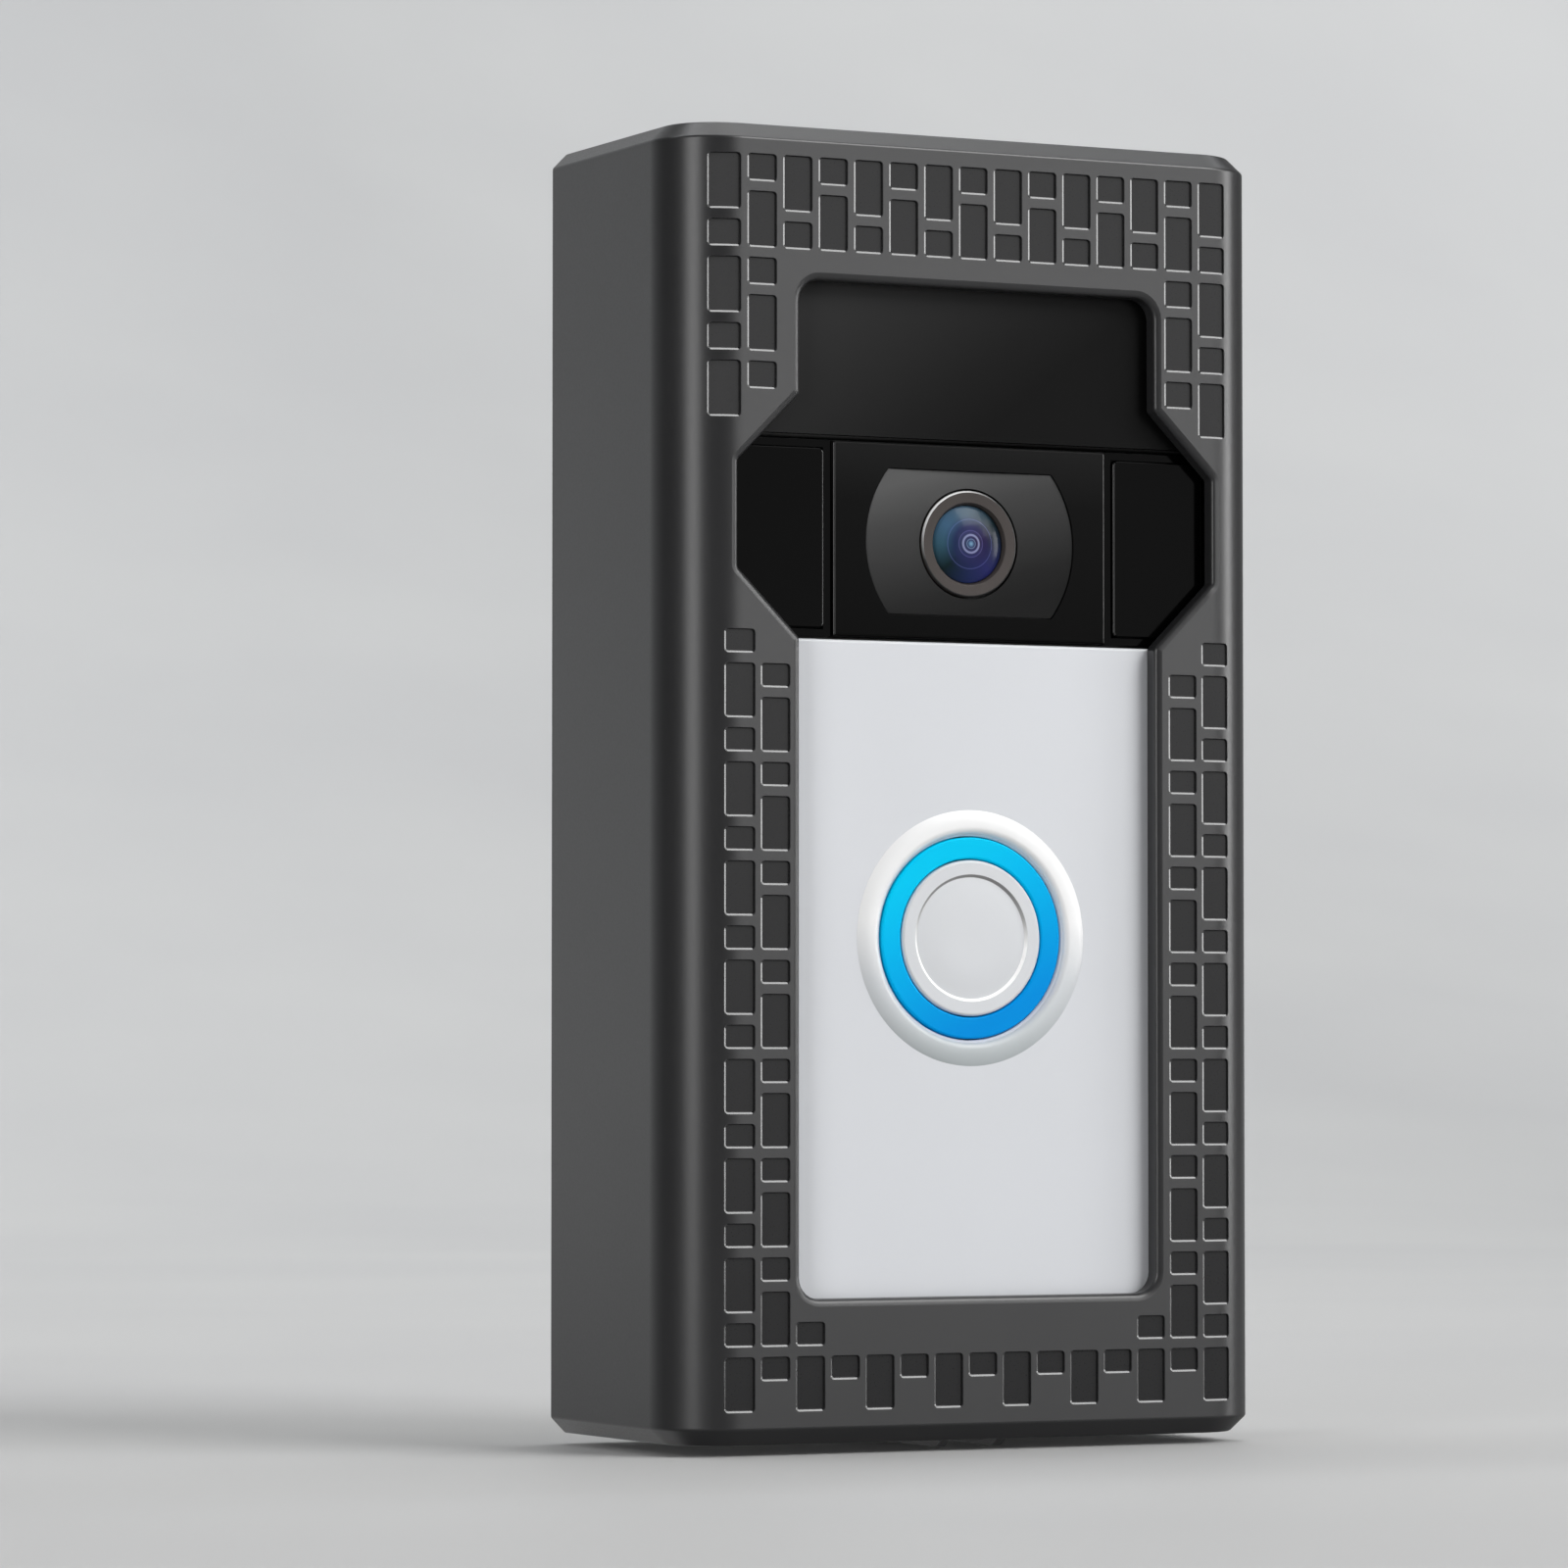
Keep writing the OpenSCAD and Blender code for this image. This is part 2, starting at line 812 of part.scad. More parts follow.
module button_carrier() {
    flange_r = 14.5;
    color([0.15, 0.15, 0.15])
        difference() {
            union() {
                rod_y(carrier_r, wall_front_y, carrier_end, 0, button_z);
                rod_y(flange_r, wall_back_y + 0.05, -27.4, 0, button_z);
            }
            difference() {
                rod_y(ring_outer + 0.08, wall_front_y - eps, -27.5, 0, button_z);
                rod_y(ring_inner - 0.08, wall_front_y - 1, -27, 0, button_z);
            }
            rod_y(5.6, wall_front_y - eps, wall_front_y + 1.1, 0, button_z);
            rod_y(stem_r + run_gap, wall_front_y - 1, carrier_end + eps, 0, button_z);
            rod_y(5.6, guide_end, carrier_end + eps, 0, button_z);
            for (turn = [0:45:315])
                translate([0, 0, button_z])
                    rotate([0, turn, 0])
                        rod_y(1.1, -28, carrier_end + eps, lamp_circle, 0);
        }
}

module button_cap() {
    groove_r = 7;
    color([0.84, 0.85, 0.87])
        difference() {
            union() {
                rod_y(ring_inner - 0.15, button_front, button_back, 0, button_z);
                rod_y(stem_r, button_back - 0.2, stem_end, 0, button_z);
            }
            difference() {
                rod_y(groove_r + 0.15, button_front - eps, button_front + 0.2, 0, button_z);
                rod_y(groove_r - 0.15, button_front - 1, button_front + 1, 0, button_z);
            }
            difference() {
                rod_y(stem_r + 1, guide_end + 0.03, guide_end + 0.57, 0, button_z);
                rod_y(stem_r - 0.5, guide_end - 1, guide_end + 1, 0, button_z);
            }
        }
}

// Snap ring in the stem's groove, which keeps the button from falling out
module button_clip() {
    color([0.6, 0.6, 0.62])
        difference() {
            rod_y(4.6, guide_end + 0.06, guide_end + 0.54, 0, button_z);
            rod_y(stem_r - 0.48, guide_end - 1, guide_end + 1, 0, button_z);
            block(-1, 1, guide_end - 1, guide_end + 1, button_z, button_z + 5);
        }
}

module switch_plunger() {
    color([0.7, 0.15, 0.1])
        rod_y(1.2, stem_end, -25.75, 0, button_z);
}

module button_seal() {
    color([0.3, 0.3, 0.32])
        difference() {
            rod_y(5.5, wall_front_y + 0.05, wall_front_y + 1.05, 0, button_z);
            rod_y(stem_r + 0.15, wall_front_y - 1, wall_front_y + 2, 0, button_z);
        }
}

module push_switch() {
    color([0.2, 0.2, 0.2])
        difference() {
            block(-3, 3, -26.4, ring_y0 - 0.02, button_z - 3, button_z + 3);
            rod_y(1.2 + run_gap, -27, -25, 0, button_z);
        }
}

module ring_board() {
    color([0.05, 0.35, 0.2])
        rod_y(carrier_r, ring_y0, ring_y1, 0, button_z);
}

module ring_lamps() {
    color([0.8, 0.9, 1])
        translate([0, 0, button_z])
            for (turn = [0:45:315])
                rotate([0, turn, 0])
                    block(lamp_circle - 0.6, lamp_circle + 0.6, -25.9, ring_y0 - 0.02, -0.6, 0.6);
}

// ---- electronics and power ----

module main_board() {
    color([0.05, 0.35, 0.2])
        difference() {
            slab(main_y0, main_y1)
                area(-27.4, 27.4, -54.5, 53.5);
            at(post_points)
                rod_y(1, main_y0 - eps, main_y1 + eps);
        }
}

module board_chips() {
    color([0.7, 0.7, 0.7])
        slab(main_y0 - 1.2, main_y0 - 0.02) {
            area(-20, -6, 22, 36);
            area(4, 20, 24, 34);
            area(-22, -12, -2, 8);
            area(14, 20, 0, 6);
        }
}

module board_connector() {
    color([0.9, 0.9, 0.85])
        block(-6, 6, camera_y1 + 0.02, main_y0 - 0.02, 45, 49);
}

module board_screws() {
    color([0.65, 0.65, 0.67]) {
        at(camera_points) {
            rod_y(1.5, camera_y1 + 0.02, -22.3);
            rod_y(0.8, -28.2, camera_y1 + 0.1);
        }
        at(post_points) {
            rod_y(1.6, -22.6, main_y0 - 0.02);
            rod_y(0.85, main_y0 - 0.1, -15);
        }
    }
}

module battery_pack() {
    color([0.2, 0.35, 0.6])
        slab(-18.4, -7.7)
            outline(23.4, -52, 8, 3);
}

module battery_foam() {
    color([0.35, 0.35, 0.35])
        slab(-7.65, rear_floor_y - 0.05)
            area(-17, 17, -46, 2);
}

module battery_connector() {
    color([0.9, 0.9, 0.85])
        block(-6, 6, main_y1 + 0.02, -17, 10, 15);
}

module speaker() {
    color([0.3, 0.3, 0.32])
        difference() {
            union() {
                rod_y(10.4, -27.3, -26.3, 0, -46);
                rod_y(8.6, -26.4, -25, 0, -46);
                rod_y(6.5, -25.1, -22.2, 0, -46);
            }
            cone_y(8.2, 3, -27.3, -25.6, 0, -46);
        }
}

module speaker_gasket() {
    color([0.25, 0.25, 0.25])
        difference() {
            rod_y(10.4, wall_back_y + 0.05, -27.35, 0, -46);
            rod_y(8.4, wall_back_y - eps, -27, 0, -46);
        }
}

module terminal_block() {
    color([0.25, 0.25, 0.25])
        difference() {
            block(-11, 11, -12, rear_floor_y - 0.05, 30, 40);
            at(terminal_points)
                rod_y(1.6, -11, rear_floor_y + eps);
        }
}

module terminal_screws() {
    color([0.75, 0.62, 0.35])
        at(terminal_points) {
            difference() {
                rod_y(terminal_head_r, rear_y1 + 0.1, rear_y1 + 1.4);
                block(-3, 3, rear_y1 + 0.9, rear_y1 + 2, -0.4, 0.4);
            }
            rod_y(1.5, -10, rear_y1 + 0.2);
        }
}

module usb_socket() {
    color([0.72, 0.72, 0.74])
        difference() {
            block(12, 20, -12.5, rear_floor_y - 0.05, 12, 15);
            block(12.5, 19.5, -11.5, rear_floor_y + eps, 12.5, 14.5);
        }
}

module usb_cover() {
    color([0.2, 0.2, 0.2])
        block(11.65, 20.35, -6.2, rear_y1 - 0.05, 11.75, 15.25);
}

module setup_button() {
    color([0.9, 0.45, 0.1]) {
        rod_x(setup_r, bell_x - case_wall - 0.2, bell_x + 0.2, setup_y, setup_z);
        rod_x(3.3, bell_x - case_wall - 0.7, bell_x - case_wall - 0.1, setup_y, setup_z);
        rod_x(1, 26.9, bell_x - case_wall - 0.5, setup_y, setup_z);
    }
}

module setup_switch() {
    color([0.2, 0.2, 0.2])
        difference() {
            block(24.6, 27.3, main_y1 + 0.02, -12.6, 27, 33);
            rod_x(1 + run_gap, 26.9 - setup_travel - 0.1, 28, setup_y, setup_z);
        }
}

cover_housing();
security_screw();
mount_plate();
adhesive_pads();
doorbell_bracket();
bracket_screws();
rear_case();
case_gasket();
front_housing();
case_screws();
faceplate();
faceplate_screw();
upper_panel();
camera_frame();
camera_panel();
ir_window_left();
ir_window_right();
lens_bezel();
lens_ring();
lens_glass();
lens_barrel();
lens_elements();
camera_holder();
image_sensor();
camera_board();
ir_lamps();
motion_sensors();
microphone();
wifi_antenna();
light_ring();
button_carrier();
button_cap();
button_clip();
switch_plunger();
button_seal();
push_switch();
ring_board();
ring_lamps();
main_board();
board_chips();
board_connector();
board_screws();
battery_pack();
battery_foam();
battery_connector();
speaker();
speaker_gasket();
terminal_block();
terminal_screws();
usb_socket();
usb_cover();
setup_button();
setup_switch();
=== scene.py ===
import json
import math

import bmesh
import bpy
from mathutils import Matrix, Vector
from mathutils.geometry import delaunay_2d_cdt, tessellate_polygon


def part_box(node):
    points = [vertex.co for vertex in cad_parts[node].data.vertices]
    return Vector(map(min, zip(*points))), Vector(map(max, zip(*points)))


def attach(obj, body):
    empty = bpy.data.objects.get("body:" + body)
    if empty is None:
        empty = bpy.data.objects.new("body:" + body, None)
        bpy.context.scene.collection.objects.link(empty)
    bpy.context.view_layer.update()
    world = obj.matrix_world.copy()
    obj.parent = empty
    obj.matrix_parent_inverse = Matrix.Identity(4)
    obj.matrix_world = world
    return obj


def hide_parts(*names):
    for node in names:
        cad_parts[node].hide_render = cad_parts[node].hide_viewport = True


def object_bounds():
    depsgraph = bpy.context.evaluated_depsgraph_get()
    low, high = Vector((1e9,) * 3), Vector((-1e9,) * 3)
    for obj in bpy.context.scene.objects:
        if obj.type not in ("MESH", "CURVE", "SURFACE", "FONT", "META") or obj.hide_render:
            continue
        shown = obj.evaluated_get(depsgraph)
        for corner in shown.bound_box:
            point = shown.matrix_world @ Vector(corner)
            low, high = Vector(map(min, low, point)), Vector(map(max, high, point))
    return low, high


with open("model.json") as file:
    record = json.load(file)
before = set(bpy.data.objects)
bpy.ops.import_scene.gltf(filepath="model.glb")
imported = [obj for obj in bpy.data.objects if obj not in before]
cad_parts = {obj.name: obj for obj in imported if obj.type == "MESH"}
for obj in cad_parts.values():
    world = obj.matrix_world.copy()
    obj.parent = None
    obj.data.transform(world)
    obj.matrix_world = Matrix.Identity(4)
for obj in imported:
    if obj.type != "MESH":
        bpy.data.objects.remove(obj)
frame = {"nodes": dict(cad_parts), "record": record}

CAD_LOW, CAD_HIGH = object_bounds()
MM = 0.001
SAME = 1e-4


# ---- mesh building, in millimetres ----

class Shell:
    """A mesh in the making: points with their own normals, and faces with a material number."""

    def __init__(self):
        self.points, self.normals, self.faces, self.paints = [], [], [], []

    def add(self, point, normal):
        self.points.append(Vector(point))
        self.normals.append(Vector(normal).normalized())
        return len(self.points) - 1

    def loop(self, pairs):
        return [self.add(p, n) for p, n in pairs]

    def face(self, ids, paint=0):
        """Adds a face, turned so that it looks the way its points' normals do."""
        ids = [v for k, v in enumerate(ids) if v != ids[k - 1]]
        if len(ids) < 3:
            return
        flat = Vector((0, 0, 0))
        for k in range(len(ids)):
            flat += self.points[ids[k - 1]].cross(self.points[ids[k]])
        wanted = sum((self.normals[v] for v in ids), Vector((0, 0, 0)))
        if flat.length < 1e-9:
            return
        self.faces.append(ids if flat.dot(wanted) > 0 else ids[::-1])
        self.paints.append(paint)

    def strip(self, a, b, closed=True, paint=0):
        """Quads between two rows of the same length; a row of one point makes a fan."""
        count = max(len(a), len(b))
        at = lambda row, k: row[0] if len(row) == 1 else row[k % count]
        for k in range(count if closed else count - 1):
            self.face([at(a, k), at(a, k + 1), at(b, k + 1), at(b, k)], paint)

    def strips(self, rows, closed=True, paint=0):
        for a, b in zip(rows, rows[1:]):
            self.strip(a, b, closed, paint)

    def fill(self, loops, normal, paint=0):
        """Fills a flat region: the first loop is its edge and the others are holes."""
        axis = max(range(3), key=lambda k: abs(normal[k]))
        keep = [k for k in range(3) if k != axis]
        lists, ids = [], []
        for loop in loops:
            lists.append([Vector((self.points[v][keep[0]], self.points[v][keep[1]], 0)) for v in loop])
            ids += [self.add(self.points[v], normal) for v in loop]
        if len(loops) == 1:
            self.face(ids, paint)
            return
        for tri in tessellate_polygon(lists):
            self.face([ids[v] for v in tri], paint)

    def build(self, name, *materials):
        mesh = bpy.data.meshes.new(name)
        mesh.from_pydata([p * MM for p in self.points], [], self.faces)
        for material in materials:
            mesh.materials.append(material)
        mesh.polygons.foreach_set("material_index", self.paints)
        mesh.polygons.foreach_set("use_smooth", [True] * len(self.faces))
        mesh.update()
        mesh.normals_split_custom_set_from_vertices([tuple(n) for n in self.normals])
        piece = bpy.data.objects.new(name, mesh)
        bpy.context.scene.collection.objects.link(piece)
        return piece


def turned(v, angle):
    c, s = math.cos(angle), math.sin(angle)
    return Vector((v.x * c - v.y * s, v.x * s + v.y * c))


def corner_arc(p, before, after, radius, steps):
    """Points and left-hand normals of the arc that rounds the corner at p."""
    turn = math.atan2(before.x * after.y - before.y * after.x, before.dot(after))
    side = 1 if turn > 0 else -1
    first = Vector((-before.y, before.x))
    start = p - before * radius * math.tan(abs(turn) / 2)
    centre = start + first * side * radius
    found = []
    for k in range(steps + 1):
        n = turned(first, turn * k / steps)
        found.append((centre - n * side * radius, n))
    return found


def profile(corners, steps=4):
    """Runs of (point, normal) along a line with corners (a, b, radius). The outside is on its left.
    A corner without a radius is sharp, and starts a new run."""
    points = [Vector(c[:2]) for c in corners]
    ways = [(b - a).normalized() for a, b in zip(points, points[1:])]
    left = lambda d: Vector((-d.y, d.x))
    runs = [[(points[0], left(ways[0]))]]
    for k in range(1, len(points) - 1):
        radius = corners[k][2]
        if radius > 0:
            runs[-1] += corner_arc(points[k], ways[k - 1], ways[k], radius, steps)
        else:
            runs[-1].append((points[k], left(ways[k - 1])))
            runs.append([(points[k], left(ways[k]))])
    runs[-1].append((points[-1], left(ways[-1])))
    return runs


def outline(corners, steps=6):
    """Closed loop of (point, outward normal) round corners (x, z, radius), given anticlockwise."""
    points = [Vector(c[:2]) for c in corners]
    count = len(points)
    loop = []
    for k in range(count):
        before = (points[k] - points[k - 1]).normalized()
        after = (points[(k + 1) % count] - points[k]).normalized()
        loop += [(p, -n) for p, n in corner_arc(points[k], before, after, corners[k][2], steps)]
    return loop


def rectangle(x0, x1, z0, z1, low_r, top_r=None, steps=6):
    top_r = low_r if top_r is None else top_r
    return outline([(x0, z0, low_r), (x1, z0, low_r), (x1, z1, top_r), (x0, z1, top_r)], steps)


def circle(x, z, radius, steps=96):
    ways = [turned(Vector((1, 0)), 2 * math.pi * k / steps) for k in range(steps)]
    return [(Vector((x, z)) + w * radius, w) for w in ways]


def sweep(shell, loop, runs, paint=0):
    """Carries a profile of (offset outwards, depth) round a loop in X and Z. Returns the first and last rows."""
    ends = []
    for run in runs:
        rows = [
            shell.loop(((p.x + n.x * at.x, at.y, p.y + n.y * at.x), (n.x * facing.x, facing.y, n.y * facing.x))
                       for p, n in loop)
            for at, facing in run
        ]
        shell.strips(rows, True, paint)
        ends += [rows[0], rows[-1]]
    return ends[0], ends[-1]


def lathe(shell, runs, centre, axis="Y", steps=72, paint=0):
    """Turns a profile of (radius, height) round an axis through centre. Returns the first and last rows."""
    spot = {
        "Y": lambda c, r, h: (c.x + r.x, h, c.y + r.y),
        "Z": lambda c, r, h: (c.x + r.x, c.y + r.y, h),
    }[axis]
    centre, still = Vector(centre), Vector((0, 0))
    ways = [turned(Vector((1, 0)), 2 * math.pi * k / steps) for k in range(steps)]
    ends = []
    for run in runs:
        rows = []
        for at, facing in run:
            if at.x < 1e-6:
                rows.append([shell.add(spot(centre, still, at.y), spot(still, still, facing.y))])
            else:
                rows.append(shell.loop((spot(centre, w * at.x, at.y), spot(still, w * facing.x, facing.y))
                                       for w in ways))
        shell.strips(rows, True, paint)
        ends += [rows[0], rows[-1]]
    return ends[0], ends[-1]


def box_mm(node):
    """Lowest and highest corners of a CAD node."""
    low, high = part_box(node)
    return low / MM, high / MM


def rounded_box(node):
    """The same corners as six numbers, without the frame's rounding noise."""
    return [round(c, 3) for corner in box_mm(node) for c in corner]


def middle_z(node):
    _, _, low, _, _, high = rounded_box(node)
    return round((low + high) / 2, 3)


def place(piece, body, slot, *nodes):
    """Gives a piece its body and hides the CAD nodes it stands for. The slot is not used."""
    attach(piece, body)
    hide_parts(*nodes)


def bevelled(node, body, slot, width, *materials):
    """A copy of a CAD node with its edges rounded."""
    mesh = frame["nodes"][node].data.copy()
    grid = bmesh.new()
    grid.from_mesh(mesh)
    bmesh.ops.remove_doubles(grid, verts=grid.verts, dist=2e-6)
    bmesh.ops.dissolve_limit(grid, angle_limit=math.radians(0.4), verts=grid.verts, edges=grid.edges)
    for f in grid.faces:
        f.smooth = True
    grid.to_mesh(mesh)
    grid.free()
    mesh.materials.clear()
    for material in materials:
        mesh.materials.append(material)
    piece = bpy.data.objects.new("fine_" + node, mesh)
    bpy.context.scene.collection.objects.link(piece)
    edge = piece.modifiers.new("edges", "BEVEL")
    edge.width = width * MM
    edge.segments = 2
    edge.limit_method = "ANGLE"
    edge.angle_limit = math.radians(38)
    edge.use_clamp_overlap = True
    shade = piece.modifiers.new("shade", "WEIGHTED_NORMAL")
    shade.keep_sharp = False
    place(piece, body, slot, node)


# ---- materials ----

def linear(r, g, b):
    """Linear colour from an sRGB one on 0 to 255."""
    straight = lambda c: c / 12.92 if c <= 0.04045 else ((c + 0.055) / 1.055) ** 2.4
    return tuple(straight(c / 255) for c in (r, g, b)) + (1.0,)


def node_of(tree, kind, **inputs):
    made = tree.nodes.new(kind)
    for name, value in inputs.items():
        made.inputs[name.replace("_", " ")].default_value = value
    return made


def blank(name):
    material = bpy.data.materials.new(name)
    material.use_nodes = True
    tree = material.node_tree
    shader = tree.nodes["Principled BSDF"]
    return material, tree, shader


def ramp(tree, source, stops):
    made = tree.nodes.new("ShaderNodeValToRGB")
    bar = made.color_ramp
    while len(bar.elements) < len(stops):
        bar.elements.new(0.5)
    for element, (at, colour) in zip(bar.elements, stops):
        element.position = at
        element.color = colour
    tree.links.new(source, made.inputs["Fac"])
    return made.outputs["Color"]


def spread_of(tree, source, low, high, from_low=0.3, from_high=0.7):
    made = node_of(tree, "ShaderNodeMapRange", From_Min=from_low, From_Max=from_high, To_Min=low, To_Max=high)
    tree.links.new(source, made.inputs["Value"])
    return made.outputs["Result"]


def noise(tree, size, detail=2.0, stretch=None):
    """Noise with features of this size in millimetres, fixed to the piece."""
    where = tree.nodes.new("ShaderNodeTexCoord").outputs["Object"]
    if stretch:
        moved = node_of(tree, "ShaderNodeMapping", Scale=stretch)
        tree.links.new(where, moved.inputs["Vector"])
        where = moved.outputs["Vector"]
    made = node_of(tree, "ShaderNodeTexNoise", Scale=1 / (size * MM), Detail=detail)
    tree.links.new(where, made.inputs["Vector"])
    return made.outputs["Fac"]


def reach_of(tree, way):
    """How far a point of the piece lies along a direction, in metres and in the piece's own space."""
    made = tree.nodes.new("ShaderNodeVectorMath")
    made.operation = "DOT_PRODUCT"
    made.inputs[1].default_value = way
    tree.links.new(tree.nodes.new("ShaderNodeTexCoord").outputs["Object"], made.inputs[0])
    return made.outputs["Value"]


def along(tree, way, start, end):
    """0 at one distance along a direction and 1 at another, in millimetres."""
    return spread_of(tree, reach_of(tree, way), 0, 1, start * MM, end * MM)


def worked(tree, operation, first, second):
    made = tree.nodes.new("ShaderNodeMath")
    made.operation = operation
    tree.links.new(first, made.inputs[0])
    tree.links.new(second, made.inputs[1])
    return made.outputs["Value"]


def mixed(tree, factor, a, b):
    made = tree.nodes.new("ShaderNodeMix")
    made.data_type = "RGBA"
    for name, source in (("Factor", factor), ("A", a), ("B", b)):
        tree.links.new(source, made.inputs[name])
    return made.outputs["Result"]


def added(tree, a, b):
    made = tree.nodes.new("ShaderNodeMix")
    made.data_type, made.blend_type = "RGBA", "ADD"
    made.inputs["Factor"].default_value = 1.0
    tree.links.new(a, made.inputs["A"])
    tree.links.new(b, made.inputs["B"])
    return made.outputs["Result"]


def grey(level):
    return linear(level, level, level)


def scaled(colour, share):
    return tuple(min(1.0, c * share) for c in colour[:3]) + (1.0,)


def add_grain(tree, shader, height, bump):
    grains = node_of(tree, "ShaderNodeBump", Strength=0.5, Distance=bump * MM)
    tree.links.new(height, grains.inputs["Height"])
    tree.links.new(grains.outputs["Normal"], shader.inputs["Normal"])


def finish(name, colour, rough, grain=0.3, bump=0.004, spread=0.08, metal=0.0, coat=0.0,
           specular=0.5, stretch=None, patch=14.0):
    """A moulded, cast or painted surface: broad colour variation, uneven gloss and a fine grain."""
    material, tree, shader = blank(name)
    shader.inputs["Metallic"].default_value = metal
    shader.inputs["Coat Weight"].default_value = coat
    shader.inputs["Coat Roughness"].default_value = 0.06
    shader.inputs["Specular IOR Level"].default_value = specular
    broad = noise(tree, patch, 3.0)
    fine = noise(tree, grain, 2.0, stretch)
    shade = ramp(tree, broad, [(0.35, scaled(colour, 1 - spread)), (0.65, scaled(colour, 1 + spread))])
    tree.links.new(shade, shader.inputs["Base Color"])
    tree.links.new(spread_of(tree, fine, rough * 0.88, rough * 1.12), shader.inputs["Roughness"])
    add_grain(tree, shader, fine, bump)
    return material


def graded(name, span, stops, rough, grain, bump, specular):
    """A surface whose colour runs along a direction, with an uneven gloss and a fine grain."""
    material, tree, shader = blank(name)
    shader.inputs["Specular IOR Level"].default_value = specular
    tree.links.new(ramp(tree, along(tree, *span), stops), shader.inputs["Base Color"])
    fine = noise(tree, grain, 2.0)
    tree.links.new(spread_of(tree, fine, rough * 0.9, rough * 1.1), shader.inputs["Roughness"])
    add_grain(tree, shader, fine, bump)
    return material


# ---- cover ----

_, COVER_FRONT, _, COVER_X, COVER_REAR, COVER_TOP = rounded_box("cover_housing")
EDGE_R = 7.8
FLAT_X = COVER_X - EDGE_R
CURVE_END = math.radians(36)
CHAMFER = 1.8
CHAMFER_ROUND = 0.5
SIDE_WALL, FRONT_WALL, CAVITY_R = 2.4, 2.2, 4.4
CAVITY_X = round(COVER_X - SIDE_WALL, 3)
CAVITY_TOP = round(COVER_TOP - SIDE_WALL, 3)
CAVITY_FRONT = round(COVER_FRONT + FRONT_WALL, 3)
WINDOW_X, WINDOW_TOP, WINDOW_LOW = 22.5, 55.8, -57.0
WIDE_X, WIDE_HALF, WIDE_Z = 30.05, 5.95, 29.55
WINDOW_LIP = 0.85
BRICK_COLS, BRICK_W, BRICK_GAP, BRICK_DEEP = 15, 3.65, 1.05, 0.3
BRICK_TOP, BRICK_LOW = 69.5, -69.3
UPPER = {"pitch": 4.4, "shift": -0.85, "tall": 6.3, "short": 3.1}
LOWER = {"pitch": 4.3, "shift": 0.2, "tall": 6.1, "short": 2.7}
BRICK_ROUND, BRICK_RIM, BRICK_EDGE, BRICK_FOOT = 0.45, 0.2, 0.05, 0.05
LOCK_Y, LOCK_SINK, LOCK_HOLE = -8.5, 2.9, 1.52
BOSS_R, BOSS_TOP, BOSS_FLOOR = 4.4, -68.2, -69.2
RIB_NEAR, RIB_FAR = 3, 4.1
BEAD_X, BEAD_HALF, BEAD_Y, BEAD_Z = 18, 6.4, -2.6, 70.9
GROOVE_R = 1.02


def surface(x, sunk=0.0):
    """Depth and normal of the cover's front at x, or of a surface sunk this far below it."""
    over, radius = max(0.0, abs(x) - FLAT_X), EDGE_R - sunk
    angle = math.asin(min(1.0, over / radius))
    side = 1 if x > 0 else -1
    normal = Vector((side * math.sin(angle), -math.cos(angle), 0))
    return COVER_FRONT + sunk + radius * (1 - math.cos(angle)), normal


def edge_lines():
    """Places across each round edge where the front has a line of points, clear of the bricks' corners."""
    return [FLAT_X + over for over in (0, 1.0, 1.5, 2.9, 3.3)]


def brick_height(part, k, tall_first):
    return part["tall"] if (k % 2 == 0) == tall_first else part["short"]


def brick_run(part, k, tall_first):
    pair = part["tall"] + part["short"] + 2 * BRICK_GAP
    return (k // 2) * pair + (brick_height(part, 0, tall_first) + BRICK_GAP if k % 2 else 0)


def bricks():
    """(x, lower edge, height, column from the side) of every recess."""
    found = []
    for col in range(1, BRICK_COLS + 1):
        side = min(col, BRICK_COLS + 1 - col)
        odd = col % 2 == 1
        upper = 5 if side <= 2 else 2
        lower = {1: 16, 2: 15, 3: 2}.get(side, 1)
        start = BRICK_LOW if odd else BRICK_LOW + LOWER["tall"] - LOWER["short"]
        for part, count in ((UPPER, upper), (LOWER, lower)):
            x = part["shift"] + (col - (BRICK_COLS + 1) / 2) * part["pitch"]
            for k in range(count):
                h, run = brick_height(part, k, odd), brick_run(part, k, odd)
                found.append((x, BRICK_TOP - run - h if part is UPPER else start + run, h, side))
    return found


def brick_loop(x, low, h, side):
    """Loop round one recess, with extra points where it crosses a round edge's lines."""
    loop = rectangle(x - BRICK_W / 2, x + BRICK_W / 2, low, low + h, BRICK_ROUND, steps=4)
    if side > 1:
        return loop
    lines = [math.copysign(line, x) for line in edge_lines()]
    full = []
    for k, (p, n) in enumerate(loop):
        q = loop[(k + 1) % len(loop)][0]
        full.append((p, n))
        if abs(p.y - q.y) < SAME:
            left, right = sorted((p.x, q.x))
            between = [line for line in lines if left + 0.02 < line < right - 0.02]
            full += [(Vector((line, p.y)), n) for line in sorted(between, reverse=q.x < p.x)]
    return full


def rim_width(n):
    """The recess's bevel is wide along its left and lower edges, and narrow along the others."""
    share = min(1.0, max(0.0, 0.5 - 0.5 * (n.x + n.y)))
    return BRICK_EDGE + (BRICK_RIM - BRICK_EDGE) * share


